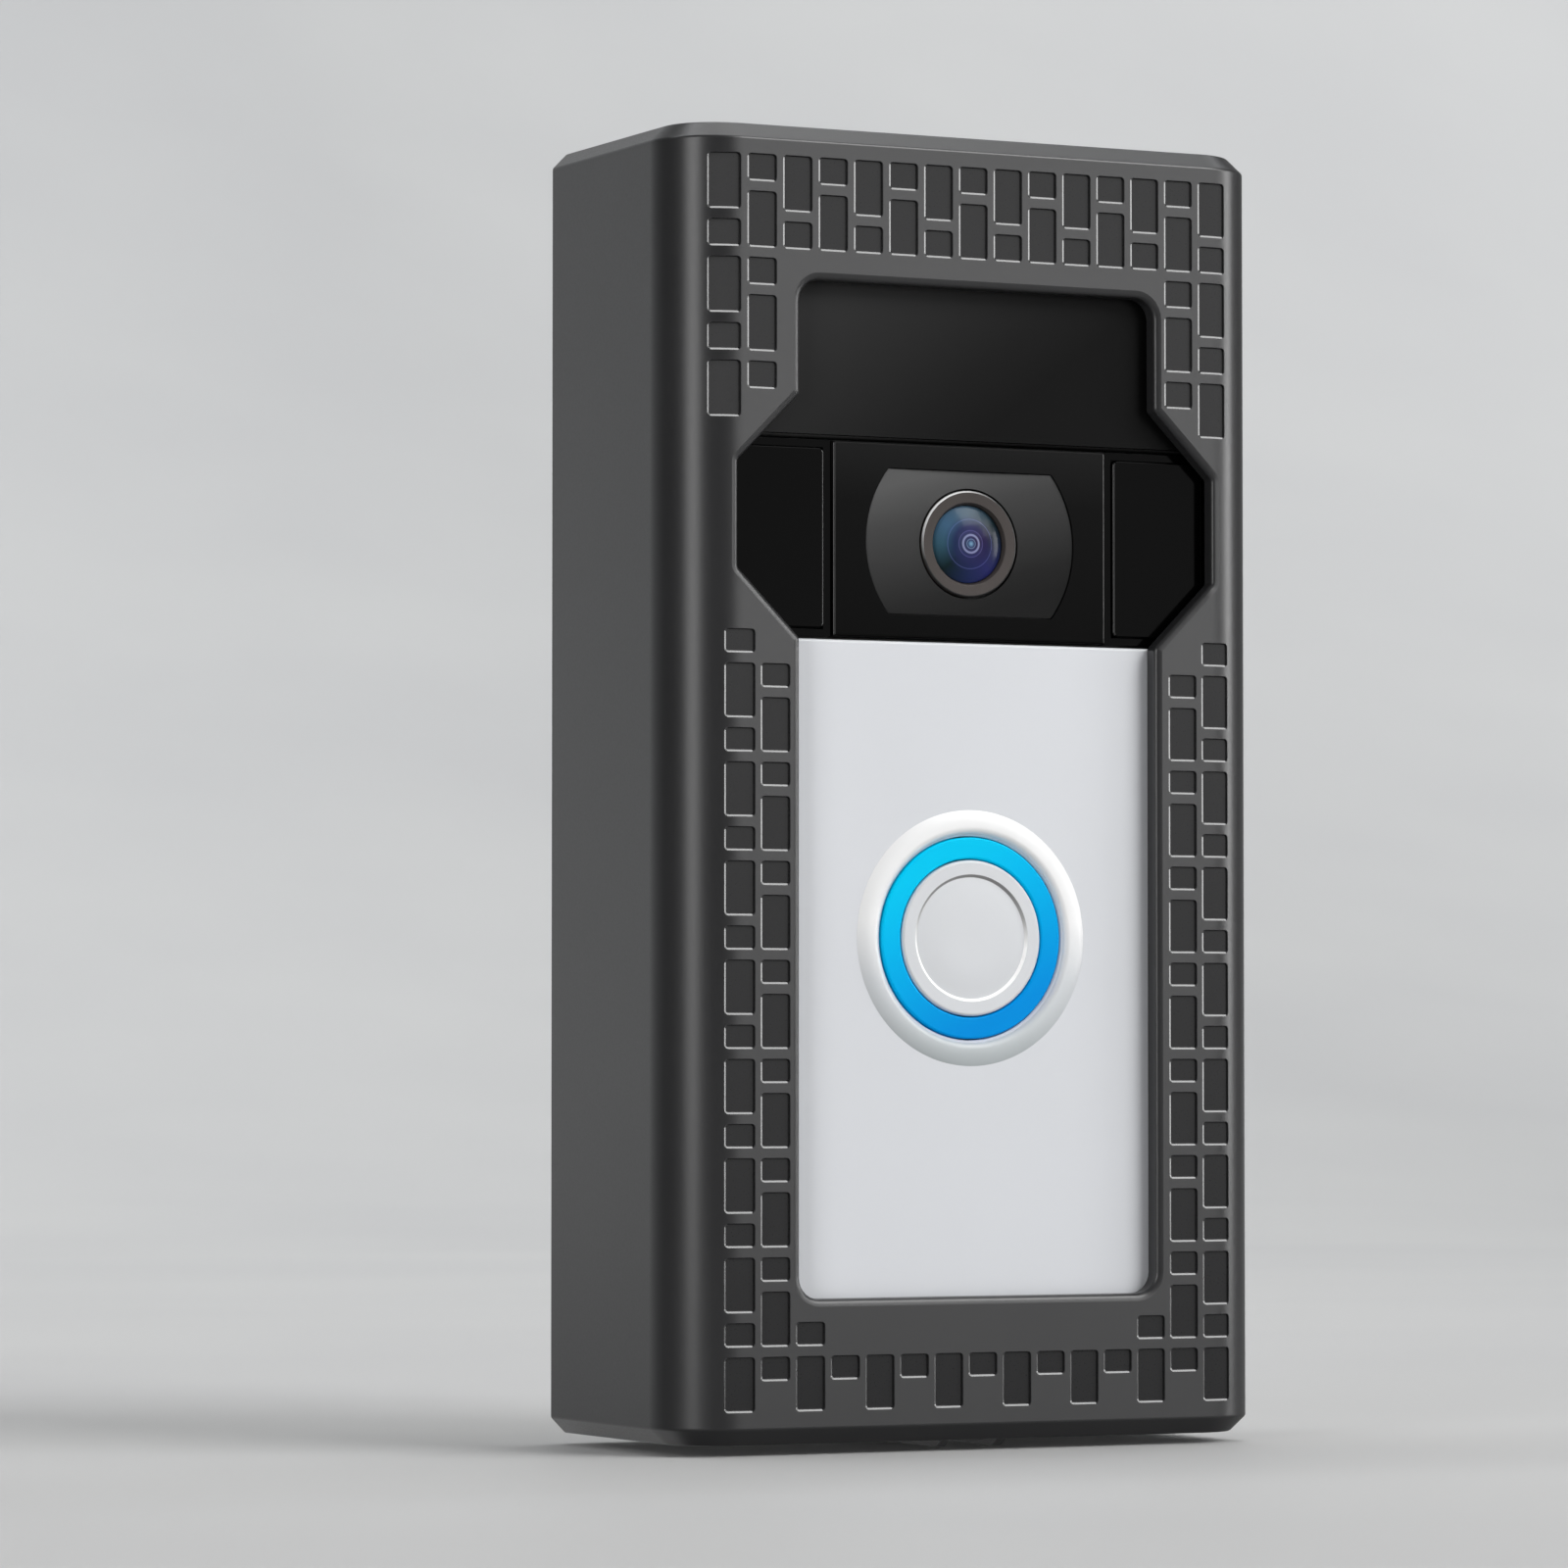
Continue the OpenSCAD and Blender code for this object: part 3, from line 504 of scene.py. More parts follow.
def brick_recess(shell, loop):
    """Bevelled rim, wall, round foot and floor of one recess. Returns the loop on the front."""
    tilt, wall, ahead = math.radians(22), 0.035, Vector((0, -1, 0))
    stages = [(0, 0, 0), (0, 0, tilt), (1, 0, tilt), (1, 0.03, math.radians(60)), (1, 0.05, math.radians(84))]
    rows = []
    for share, extra, angle in stages:
        row = []
        for p, n in loop:
            y, normal = surface(p.x)
            inset = rim_width(n) * share + extra / 2
            inward = Vector((-n.x, 0, -n.y))
            at = Vector((p.x - n.x * inset, y + inset * math.tan(tilt) + extra, p.y - n.y * inset))
            row.append((at, ahead * math.cos(angle) + inward * math.sin(angle) if angle else normal))
        rows.append(shell.loop(row))
    for k in range(3):
        angle = math.radians(90) * k / 2
        across, face_on = math.cos(angle), math.sin(angle)
        row = []
        for p, n in loop:
            inset = rim_width(n) + wall + BRICK_FOOT * (1 - across)
            depth = surface(p.x - n.x * inset, BRICK_DEEP)[0] - BRICK_FOOT * (1 - face_on)
            row.append(((p.x - n.x * inset, depth, p.y - n.y * inset), (-n.x * across, -face_on, -n.y * across)))
        rows.append(shell.loop(row))
    # The bevel gets the rim finish, painted a little lighter as a painted highlight; the wall, foot and floor get
    # the recess finish.
    shell.strips(rows[1:3], paint=2)
    shell.strips(rows[2:], paint=1)
    half = len(loop) // 2
    shell.strip(rows[-1][:half], rows[-1][:half - 1:-1], False, paint=1)
    return rows[0]


def window_loop():
    """The opening: a tall rectangle with a wider eight-cornered stretch."""
    reach = WIDE_HALF + WIDE_X - WINDOW_X
    end, waist, wide = 2.4, 0.9, 0.7
    right = [
        (WINDOW_X, WINDOW_LOW, end), (WINDOW_X, WIDE_Z - reach, waist), (WIDE_X, WIDE_Z - WIDE_HALF, wide),
        (WIDE_X, WIDE_Z + WIDE_HALF, wide), (WINDOW_X, WIDE_Z + reach, waist), (WINDOW_X, WINDOW_TOP, end),
    ]
    left = [(-x, z, r) for x, z, r in reversed(right)]
    return outline(right + left, 7)


def crossed(loop, lines, outset):
    """The loop with extra points where its outset copy crosses the round edges' lines."""
    full = []
    for k, (p, n) in enumerate(loop):
        full.append((p, n))
        q, m = loop[(k + 1) % len(loop)]
        a, b = p + n * outset, q + m * outset
        for line in sorted(lines, reverse=b.x < a.x):
            if min(a.x, b.x) < line < max(a.x, b.x):
                t = (line - a.x) / (b.x - a.x)
                full.append((p.lerp(q, t), n.lerp(m, t)))
    return full


def window_wall(shell, loop, lip):
    """Lip, wall and inner edge of the window. Returns the front row and the inner row."""
    tilt, bevel, edge, square = math.radians(20), 0.5, 0.3, math.radians(90)
    soft, sink = lip * (1 - bevel), lip * bevel * math.tan(tilt)
    stages = [(lip, 0, 0), (lip, 0, tilt * 0.6), (soft, sink, tilt)]
    for k in range(1, 6):
        angle = tilt + (square - tilt) * k / 5
        share = (math.sin(angle) - math.sin(tilt)) / (1 - math.sin(tilt))
        fall = (math.cos(tilt) - math.cos(angle)) / math.cos(tilt)
        stages.append((soft * (1 - share), sink + soft * fall, angle))
    rows = []
    for out, drop, angle in stages:
        row = []
        for p, n in loop:
            y, normal = surface(p.x + n.x * lip)
            at = Vector((p.x + n.x * out, y + drop, p.y + n.y * out))
            row.append((at, normal * math.cos(angle) - Vector((n.x, 0, n.y)) * math.sin(angle)))
        rows.append(shell.loop(row))
    for k in range(5):
        across, rear = math.cos(square * k / 4), math.sin(square * k / 4)
        out, depth = edge * (1 - across), CAVITY_FRONT - edge * (1 - rear)
        rows.append(shell.loop(((p.x + n.x * out, depth, p.y + n.y * out), (-n.x * across, rear, -n.y * across))
                               for p, n in loop))
    shell.strips(rows)
    return rows[0], rows[-1]


def front_boundary():
    """X of the points along the front's top and bottom lines."""
    lines = edge_lines() + [FLAT_X + EDGE_R * math.sin(CURVE_END)]
    return [-x for x in reversed(lines)] + lines


def front_skin(shell, rim):
    """The front between the end chamfers, with the recesses and the window. Returns the window's inner row."""
    flat, edges, owner, ids = [], [], [], []

    def put(x, z, tag, vertex=None):
        y, normal = surface(x)
        flat.append(Vector((x, z)))
        owner.append(tag)
        ids.append(vertex if vertex is not None else shell.add((x, y, z), normal))
        return len(flat) - 1

    def close(row):
        edges.extend((row[k - 1], row[k]) for k in range(len(row)))

    xs = front_boundary()
    top = [put(x, rim, "rim") for x in xs]
    low = [put(x, -rim, "rim") for x in xs]
    close(low + top[::-1])
    lines = edge_lines()
    window = crossed(window_loop(), lines + [-line for line in lines], WINDOW_LIP)
    window_row, inner_row = window_wall(shell, window, WINDOW_LIP)
    points = [p + n * WINDOW_LIP for p, n in window]
    marks = [put(p.x, p.y, "window", v) for p, v in zip(points, window_row)]
    close(marks)
    round_window = (WIDE_Z - WIDE_HALF, points, marks)
    stacks = {False: [round_window], True: [round_window]}
    for number, (x, z, h, side) in enumerate(bricks()):
        loop = brick_loop(x, z, h, side)
        row = brick_recess(shell, loop)
        marks = [put(p.x, p.y, number, v) for (p, n), v in zip(loop, row)]
        close(marks)
        if side == 1:
            stacks[x > 0].append((z, [p for p, n in loop], marks))
    for right, stack in stacks.items():
        stack.sort(key=lambda s: s[0])
        for line in edge_lines():
            x = line if right else -line
            corner = xs.index(x)
            marks = [low[corner]]
            for z, loop, row in stack:
                pair = [m for p, m in zip(loop, row) if abs(p.x - x) < SAME]
                marks += sorted(pair, key=lambda m: flat[m].y)
            marks.append(top[corner])
            edges.extend(zip(marks[::2], marks[1::2]))
    verts, _, faces, origin, _, _ = delaunay_2d_cdt(flat, edges, [], 0, 1e-7, True)
    hole = [(p.x, p.y) for p in points]
    for tri in faces:
        own = [origin[v][0] for v in tri]
        tags = {owner[v] for v in own}
        if len(tags) == 1 and isinstance(owner[own[0]], int):
            continue
        centre = sum((verts[v] for v in tri), Vector((0, 0))) / 3
        if tags == {"window"} and inside(centre, hole):
            continue
        shell.face([ids[v] for v in own])
    return inner_row


def inside(p, loop):
    found = False
    for (ax, az), (bx, bz) in zip(loop, loop[1:] + loop[:1]):
        if (az > p.y) != (bz > p.y) and p.x < (bx - ax) * (p.y - az) / (bz - az) + ax:
            found = not found
    return found


def side_path():
    """(point, normal) in X and Y from the front's right end to the rear rim."""
    found = []
    for k in range(9):
        angle = CURVE_END + (math.radians(90) - CURVE_END) * k / 8
        n = Vector((math.sin(angle), -math.cos(angle)))
        found.append((Vector((FLAT_X, COVER_FRONT + EDGE_R)) + n * EDGE_R, n))
    return found + [(Vector((COVER_X, COVER_REAR)), Vector((1, 0)))]


def end_path():
    """(point, normal) in X and Y all the way round from the left rear to the right rear."""
    side = side_path()
    flip = lambda v: Vector((-v.x, v.y))
    left = [(flip(p), flip(n)) for p, n in reversed(side)]
    middle = []
    for x in front_boundary()[1:-1]:
        y, normal = surface(x)
        middle.append((Vector((x, y)), normal.xy))
    return left + middle + side


def cover_end(shell, up):
    """Chamfer of one end, all the way round. Returns its rows, from the side to the flat face."""
    path = end_path()
    line = profile([(0, 0, 0), (0, COVER_TOP - CHAMFER, CHAMFER_ROUND), (CHAMFER, COVER_TOP, CHAMFER_ROUND),
                    (CHAMFER + 1, COVER_TOP, 0)], 3)[0][1:-1]
    rows = []
    for at, facing in line:
        row = []
        for p, n in path:
            spot = p - n * at.x
            row.append(((spot.x, spot.y, at.y * up), (n.x * -facing.x, n.y * -facing.x, facing.y * up)))
        rows.append(shell.loop(row))
    shell.strips(rows, False)
    return rows


def lock_well(shell):
    """Counterbore, boss and screw hole in the bottom wall. Returns the outer and the inner rows."""
    line = profile(
        [(LOCK_SINK + 0.6, -COVER_TOP, 0), (LOCK_SINK, -COVER_TOP, 0.3), (LOCK_SINK, BOSS_FLOOR, 0),
         (LOCK_HOLE, BOSS_FLOOR, 0), (LOCK_HOLE, BOSS_TOP, 0), (BOSS_R, BOSS_TOP, 0.3), (BOSS_R, -CAVITY_TOP, 0)]
    )
    flipped = [[(at, -facing) for at, facing in run] for run in line]
    return lathe(shell, flipped, (0, LOCK_Y), "Z")


def guard_rib(shell, x0, x1):
    """One low rib with round edges under the bottom wall, sunk a little into it."""
    front, back, ramp_end, drop = COVER_FRONT + 2, -3.4, 1.2, 0.8
    low, sunk = -COVER_TOP - drop, -COVER_TOP + 0.3
    spine = [(front, -COVER_TOP), (front + ramp_end, low), (back, low)]
    section = [(x0, 0, -1, 0), (x0, -1, -1, 0), (x0, -1, 0, -1), (x1, -1, 0, -1), (x1, -1, 1, 0), (x1, 0, 1, 0)]
    rows = []
    for y, z in spine:
        row = []
        for x, down, nx, nz in section:
            row.append(((x, y, z if down else sunk), (nx, 0, nz)))
        rows.append(shell.loop(row))
    for a, b in zip(rows, rows[1:]):
        for k in (0, 2, 4):
            shell.face([a[k], a[k + 1], b[k + 1], b[k]])
    end = rows[-1]
    shell.fill([[end[0], end[1], end[4], end[5]]], Vector((0, 1, 0)))


def cavity_path():
    """(point, inward normal) in X and Y round the cavity from the left rear to the right rear."""
    found = [(Vector((-CAVITY_X, COVER_REAR)), Vector((1, 0)))]
    for side in (-1, 1):
        for k in range(9):
            angle = math.radians(90) * (k / 8 if side > 0 else 1 - k / 8)
            n = Vector((side * math.sin(angle), -math.cos(angle)))
            centre = Vector((side * (CAVITY_X - CAVITY_R), CAVITY_FRONT + CAVITY_R))
            found.append((centre + n * CAVITY_R, -n))
    found.append((Vector((CAVITY_X, COVER_REAR)), Vector((-1, 0))))
    return found


def bead_groove(shell, x0, x1):
    """Half-round groove in the top wall. Returns its mouth."""
    reach, steps = math.asin((BEAD_Z - CAVITY_TOP) / GROOVE_R), 12
    rows = []
    for x in (x0, x1):
        row = []
        for k in range(steps + 1):
            angle = -reach + (math.pi + 2 * reach) * k / steps
            n = Vector((0, math.cos(angle), math.sin(angle)))
            row.append(((x, BEAD_Y + n.y * GROOVE_R, BEAD_Z + n.z * GROOVE_R), -n))
        rows.append(shell.loop(row))
    shell.strip(rows[0], rows[1], False)
    shell.fill([rows[0]], Vector((1, 0, 0)))
    shell.fill([rows[1]], Vector((-1, 0, 0)))
    return [rows[0][0], rows[1][0], rows[1][-1], rows[0][-1]]


def cover_inside(shell, inner_row, boss_row):
    """Walls of the cavity, with the window's, the grooves' and the boss's holes. Returns its two end rows."""
    path = cavity_path()
    rows = []
    for z in (-CAVITY_TOP, CAVITY_TOP):
        rows.append(shell.loop(((p.x, p.y, z), (n.x, n.y, 0)) for p, n in path))
    middle = next(k for k in range(len(path) - 1) if abs(path[k][0].x + path[k + 1][0].x) < SAME)
    for k in range(len(path) - 1):
        if k != middle:
            shell.face([rows[0][k], rows[0][k + 1], rows[1][k + 1], rows[1][k]])
    corners = [rows[0][middle], rows[0][middle + 1], rows[1][middle + 1], rows[1][middle]]
    shell.fill([corners, inner_row], Vector((0, 1, 0)))
    grooves = [bead_groove(shell, x - BEAD_HALF, x + BEAD_HALF) for x in (-BEAD_X, BEAD_X)]
    shell.fill([rows[1], *grooves], Vector((0, 0, -1)))
    shell.fill([rows[0], boss_row], Vector((0, 0, 1)))
    return rows


def cover_rim(shell, ends, inner):
    """Flat rear rim between the outside and the cavity."""
    low, top = ends
    outer = [row[-1] for row in low[::-1]] + [row[-1] for row in top]
    outer += [row[0] for row in top[::-1]] + [row[0] for row in low]
    hole = [inner[0][0], inner[0][-1], inner[1][-1], inner[1][0]]
    shell.fill([outer, hole], Vector((0, 1, 0)))


def cover():
    shell = Shell()
    rim = COVER_TOP - CHAMFER - CHAMFER_ROUND * math.tan(math.radians(22.5))
    inner_row = front_skin(shell, rim)
    top_rows, low_rows = cover_end(shell, 1), cover_end(shell, -1)
    count = len(side_path())
    for part in (slice(0, count), slice(-count, None)):
        shell.strip(low_rows[0][part], top_rows[0][part], False)
    outer_well, inner_well = lock_well(shell)
    shell.fill([top_rows[-1]], Vector((0, 0, 1)))
    shell.fill([low_rows[-1], outer_well], Vector((0, 0, -1)))
    guard_rib(shell, -RIB_FAR, -RIB_NEAR)
    guard_rib(shell, RIB_NEAR, RIB_FAR)
    inner = cover_inside(shell, inner_row, inner_well)
    cover_rim(shell, (low_rows, top_rows), inner)
    piece = shell.build("cover_shell", cover_plastic(), recess_plastic(), rim_plastic_painted_highlight())
    place(piece, "cover", "cover_plastic", "cover_housing")


def cover_plastic():
    return finish("cover grey", linear(39, 39, 40), 0.32, grain=0.22, bump=0.002, spread=0.04, specular=0.56)


def recess_plastic():
    return finish("recess grey", linear(23, 23, 24), 0.3, grain=0.22, bump=0.0015, spread=0.04, specular=0.25)


def rim_plastic_painted_highlight():
    """The moulded rims of the recesses are smoother than the face, and painted a little lighter than it, a
    painted highlight.
    """
    return finish("rim grey with painted highlight", linear(44, 44, 45), 0.16, grain=0.3, bump=0.0008, spread=0.04, specular=0.7)


# ---- doorbell faceplate, light ring and button ----

BELL_R = 6.0
BUTTON_Z = middle_z("light_ring")
BUTTON_AXIS = (0, BUTTON_Z)


def collar_line(outer, inner, base, rise, crest=0.28, steps=12):
    """Run of the collar: a long round slope up to a crest near its inner edge, and a short one inside."""
    top = inner + (outer - inner) * crest
    run = []
    for edge, count in ((outer, steps), (inner, steps // 2)):
        half = abs(edge - top)
        radius = (half * half + rise * rise) / (2 * rise)
        reach = math.asin(min(1.0, half / radius))
        side = 1 if edge == outer else -1
        part = []
        for k in range(count + 1):
            angle = reach * (1 - k / count)
            n = Vector((side * math.sin(angle), -math.cos(angle)))
            part.append((Vector((top, base - rise + radius)) + n * radius, n))
        run += part if side > 0 else part[-2::-1]
    return run


def faceplate():
    """Face with its collar and button hole, and a skirt round its sides and foot."""
    low, high = box_mm("faceplate")
    front, rear, wall, skirt = -32.0, high.y, 1.9, 1.3
    collar_out, collar_in, hole = 14.35, 11.75, 11.45
    shell = Shell()
    face = rectangle(low.x, high.x, low.z, high.z, BELL_R, 0.3)
    back_row, front_row = sweep(
        shell, face, profile([(0, front + wall, 0), (0, front, 0.35), (-1.5, front, 0)], 5)
    )
    collar = [collar_line(collar_out, collar_in, front, front - low.y)]
    collar_row, _ = lathe(shell, collar, BUTTON_AXIS, steps=128, paint=1)
    mouth = profile([(collar_in, front, 0), (hole, front + 0.3, 0), (hole, front + wall, 0)])
    _, hole_row = lathe(shell, mouth, BUTTON_AXIS, steps=128)
    shell.fill([front_row, collar_row], Vector((0, -1, 0)))
    shell.fill([back_row, hole_row], Vector((0, 1, 0)))
    corner = BELL_R - skirt
    band = outline(
        [(low.x, low.z, BELL_R), (high.x, low.z, BELL_R), (high.x, high.z - 0.1, 0.1),
         (high.x - skirt, high.z - 0.1, 0.1), (high.x - skirt, low.z + skirt, corner),
         (low.x + skirt, low.z + skirt, corner), (low.x + skirt, high.z - 0.1, 0.1), (low.x, high.z - 0.1, 0.1)]
    )
    end_row, _ = sweep(shell, band, profile([(0, rear, 0), (0, front + wall + 0.01, 0)]))
    shell.fill([end_row], Vector((0, 1, 0)))
    # The collar's finish carries painted light: lighter at its top and darker at its bottom.
    piece = shell.build(
        "faceplate_shell", silver_satin("faceplate silver", linear(205, 207, 211)), collar_painted_light()
    )
    place(piece, "base", "faceplate_silver", "faceplate")


# Painted highlight and shade: the collar runs from a darker greenish grey at the bottom to near white at the top.
def collar_painted_light():
    return graded("collar silver with painted light", ((0, 0, 1), BUTTON_Z - 13, BUTTON_Z + 10),
                  [(0, linear(183, 189, 191)), (0.35, linear(202, 205, 208)), (0.65, grey(233)), (1, grey(230))],
                  0.36, 0.12, 0.0012, 0.5)


def silver_satin(name, colour):
    return finish(name, colour, 0.34, grain=0.12, bump=0.0012, spread=0.012, patch=30)


def flat_back(shell, first, last):
    """Ring between two rows that looks backward."""
    first, last = (shell.loop((shell.points[v], (0, 1, 0)) for v in row) for row in (first, last))
    shell.strip(first, last)


def light_ring():
    _, front, _, outer, rear, _ = rounded_box("light_ring")
    inner = 8.9
    shell = Shell()
    line = profile([(outer, rear, 0), (outer, front, 0.25), (inner, front, 0.25), (inner, rear, 0)])
    first, last = lathe(shell, line, BUTTON_AXIS, steps=128)
    flat_back(shell, first, last)
    piece = shell.build("light_ring_body", lit_blue_painted_highlight())
    place(piece, "base", "light_blue", "light_ring")


def lit_blue_painted_highlight():
    """Frosted ring that glows with its own light; its colour is painted lighter cyan at the upper left and deeper
    blue at the lower right, a painted highlight.
    """
    material, tree, shader = blank("lit blue ring with painted highlight")
    middle = -0.9 * BUTTON_Z
    shade = ramp(tree, along(tree, (0.43, 0, -0.9), middle - 10.1, middle + 10.1), [
        (0.05, linear(0, 183, 222)), (0.28, linear(0, 171, 219)),
        (0.71, linear(0, 145, 208)), (0.95, linear(0, 130, 203))])
    tree.links.new(shade, shader.inputs["Base Color"])
    tree.links.new(shade, shader.inputs["Emission Color"])
    shader.inputs["Emission Strength"].default_value = 0.16
    shader.inputs["Specular IOR Level"].default_value = 0.04
    tree.links.new(spread_of(tree, noise(tree, 0.4), 0.3, 0.4), shader.inputs["Roughness"])
    return material


def button_cap():
    """Disc with a stem and a groove. Of the groove's walls only the steep outer one shows; it is painted light
    below and dark above, a painted highlight and shade.
    """
    low, high = box_mm("button_cap")
    radius, front, skin = 8.75, low.y, 1.2
    groove, deep = 7.0, 0.25
    shell = Shell()
    disc = profile([(3.0, front + skin, 0), (radius, front + skin, 0.15), (radius, front, 0.35),
                    (groove + 0.14, front, 0.04), (groove - 0.18, front + deep, 0.1),
                    (groove - 2.6, front, 30), (0, front, 0)], 4)[0]
    # The groove's part gets the groove finish, with its painted highlight and shade.
    for part, paint in ((disc[:14], 0), (disc[13:19], 1), (disc[18:], 0)):
        lathe(shell, [part], BUTTON_AXIS, steps=128, paint=paint)
    stem = profile([(0, high.y, 0), (3.0, high.y, 0.2), (3.0, front + skin, 0)])
    lathe(shell, stem, BUTTON_AXIS, steps=48)
    piece = shell.build("button_disc", silver_satin("button silver", linear(205, 207, 210)), groove_painted_light())
    place(piece, "button", "button_silver", "button_cap")


# Painted highlight and shade: white at the bottom of the groove, darker grey at its top.
def groove_painted_light():
    return graded("groove silver with painted light", ((0, 0, 1), BUTTON_Z - 6, BUTTON_Z + 5),
                  [(0, grey(255)), (0.45, grey(250)), (0.75, grey(170)), (1, grey(140))], 0.3, 0.12, 0.0005, 0.6)


# ---- camera head ----

LENS_Z = middle_z("lens_glass")
LENS_AXIS = (0, LENS_Z)
GLASS_R = rounded_box("lens_glass")[3]
# The CAD bezel is cut from a faceted circle, so its box is 0.005 mm short of the radius.
BEZEL_R = round(rounded_box("lens_bezel")[3], 1)
BEZEL_FLAT = round(rounded_box("lens_bezel")[5] - LENS_Z, 3)
BEZEL_HOLE, BEZEL_SINK = 6.25, 0.3


def slab_piece(name, loop, front, rear, edge, material, hole=None, hole_edge=0.1):
    """A plate with rounded front edges, the upright ones in a polished finish of their own that paints in their
    highlight, and a hole if there is one.
    """
    shell = Shell()
    run = profile([(0, rear, 0), (0, front, edge), (-edge - 0.1, front, 0)], 5)[0]
    back_row, _ = sweep(shell, loop, [run[:2]])
    rim_row = len(shell.faces)
    sweep(shell, loop, [run[1:-1]])
    # Upright edge faces get the polished edge finish, a painted highlight; the other edges keep the plate's
    # finish so they show no bright line.
    for number in range(rim_row, len(shell.faces)):
        across = sum(abs(shell.normals[v].x) for v in shell.faces[number])
        upright = sum(abs(shell.normals[v].z) for v in shell.faces[number])
        shell.paints[number] = 1 if across > upright else 0
    _, front_row = sweep(shell, loop, [run[-2:]])
    fronts, backs = [front_row], [back_row]
    if hole:
        line = profile([(hole_edge + 0.05, front, 0), (0, front, hole_edge), (0, rear, 0)], 3)
        first, last = sweep(shell, hole, [[(at, facing) for at, facing in run] for run in line])
        fronts.append(first)
        backs.append(last)
    shell.fill(fronts, Vector((0, -1, 0)))
    shell.fill(backs, Vector((0, 1, 0)))
    return shell.build(name, material, upright_edge_painted_highlight())


def bezel_outline(extra=0.0):
    """The bezel's edge: a circle cut flat above and below, with a point every few degrees."""
    radius, flat = BEZEL_R + extra, BEZEL_FLAT + extra
    corner = math.asin(flat / radius)
    loop, steps = [], 24
    for start, end, up in ((-corner, corner, 1), (math.pi - corner, math.pi + corner, -1)):
        for k in range(steps + 1):
            w = turned(Vector((1, 0)), start + (end - start) * k / steps)
            loop.append((Vector(LENS_AXIS) + w * radius, w))
        x0 = loop[-1][0].x
        for k in range(1, steps):
            loop.append((Vector((x0 - 2 * x0 * k / steps, LENS_Z + up * flat)), Vector((0, up))))
    return loop


def camera_panel():
    low, high = box_mm("camera_panel")
    face = rectangle(low.x, high.x, low.z, high.z, 0.3)
    hole = bezel_outline(0.06)
    # The plate's finish carries painted light: darkest at the bottom and lighter at the top.
    piece = slab_piece("camera_panel_plate", face, low.y, high.y, 0.22, camera_panel_painted_light(), hole, 0.08)
    place(piece, "base", "head_satin", "camera_panel")


def upper_panel():
    low, high = box_mm("upper_panel")
    face = rectangle(low.x, high.x, low.z, high.z, 0.3, BELL_R)
    # The plate's finish carries a painted sheen, lighter towards the upper left.
    piece = slab_piece("upper_panel_plate", face, low.y, high.y, 0.3, upper_panel_painted_sheen())
    place(piece, "base", "head_satin", "upper_panel")


def window_plate(node):
    low, high = box_mm(node)
    face = rectangle(low.x, high.x, low.z, high.z, 0.6)
    piece = slab_piece(node + "_pane", face, low.y, high.y, 0.18, gloss_black())
    place(piece, "base", "head_gloss", node)


def lens_bezel():
    """Shallow dish from the flat-sided edge down to the lens ring."""
    low, high = box_mm("lens_bezel")
    slope = BEZEL_SINK / (BEZEL_R - BEZEL_HOLE)
    shell = Shell()
    loop = bezel_outline()
    spokes = [p - Vector(LENS_AXIS) for p, n in loop]
    rows = []
    for k in range(9):
        row = []
        for spoke in spokes:
            way = spoke.normalized()
            radius = spoke.length + (BEZEL_HOLE - spoke.length) * k / 8
            at = Vector(LENS_AXIS) + way * radius
            row.append(((at.x, low.y + slope * (BEZEL_R - radius), at.y), (-way.x * slope, -1, -way.y * slope)))
        rows.append(shell.loop(row))
    shell.strips(rows)
    outward = [(n.x, 0, n.y) for p, n in loop]
    inward = [(-spoke.x, 0, -spoke.y) for spoke in spokes]
    backs = []
    for row, facing in ((rows[0], outward), (rows[-1], inward)):
        ahead = [shell.points[v] for v in row]
        wall = shell.loop(zip(ahead, facing))
        backs.append(shell.loop(((p.x, high.y, p.z), n) for p, n in zip(ahead, facing)))
        shell.strip(wall, backs[-1])
    shell.fill(backs, Vector((0, 1, 0)))
    # The dish's finish carries painted light: dark at the bottom and light at the top.
    piece = shell.build("lens_dish", bezel_grey())
    place(piece, "base", "bezel_grey", "lens_bezel")


def lens_ring():
    """Flat ring whose round outer edge catches the light, with a painted highlight on that edge at its upper
    left.
    """
    _, front, _, outer, rear, _ = rounded_box("lens_ring")
    inner, slant, steps = 4.45, 0.2, 6
    shell = Shell()
    run = profile([(outer, rear, 0), (outer, front + 0.15, 0.2), (inner + slant, front + 0.2, 0.1),
                   (inner, front + 0.6, 0.05), (inner, rear, 0)], steps)[0]
    first, _ = lathe(shell, [run[:2]], LENS_AXIS, steps=128)
    lathe(shell, [run[1:steps + 2]], LENS_AXIS, steps=128, paint=1)
    _, last = lathe(shell, [run[steps + 1:]], LENS_AXIS, steps=128)
    flat_back(shell, first, last)
    piece = shell.build("lens_ring_body", ring_metal(), ring_edge_painted_highlight())
    place(piece, "base", "ring_metal", "lens_ring")


def lens_glass():
    """Domed front glass; the coating's rings and reflections are painted into its finish."""
    low, high = box_mm("lens_glass")
    rise = 1.0
    sphere = (GLASS_R * GLASS_R + rise * rise) / (2 * rise)
    reach = math.asin(GLASS_R / sphere)
    run = []
    for k in range(17):
        angle = reach * (1 - k / 16)
        n = Vector((math.sin(angle), -math.cos(angle)))
        run.append((Vector((0, low.y + sphere)) + n * sphere, n))
    run[-1] = (Vector((0, low.y)), Vector((0, -1)))
    shell = Shell()
    side = profile([(0, high.y, 0), (GLASS_R, high.y, 0), (GLASS_R, low.y + rise, 0)])
    lathe(shell, side, LENS_AXIS, steps=96)
    lathe(shell, [run], LENS_AXIS, steps=96)
    piece = shell.build("lens_dome", coated_glass_painted_reflections())
    place(piece, "base", "lens_coated", "lens_glass")


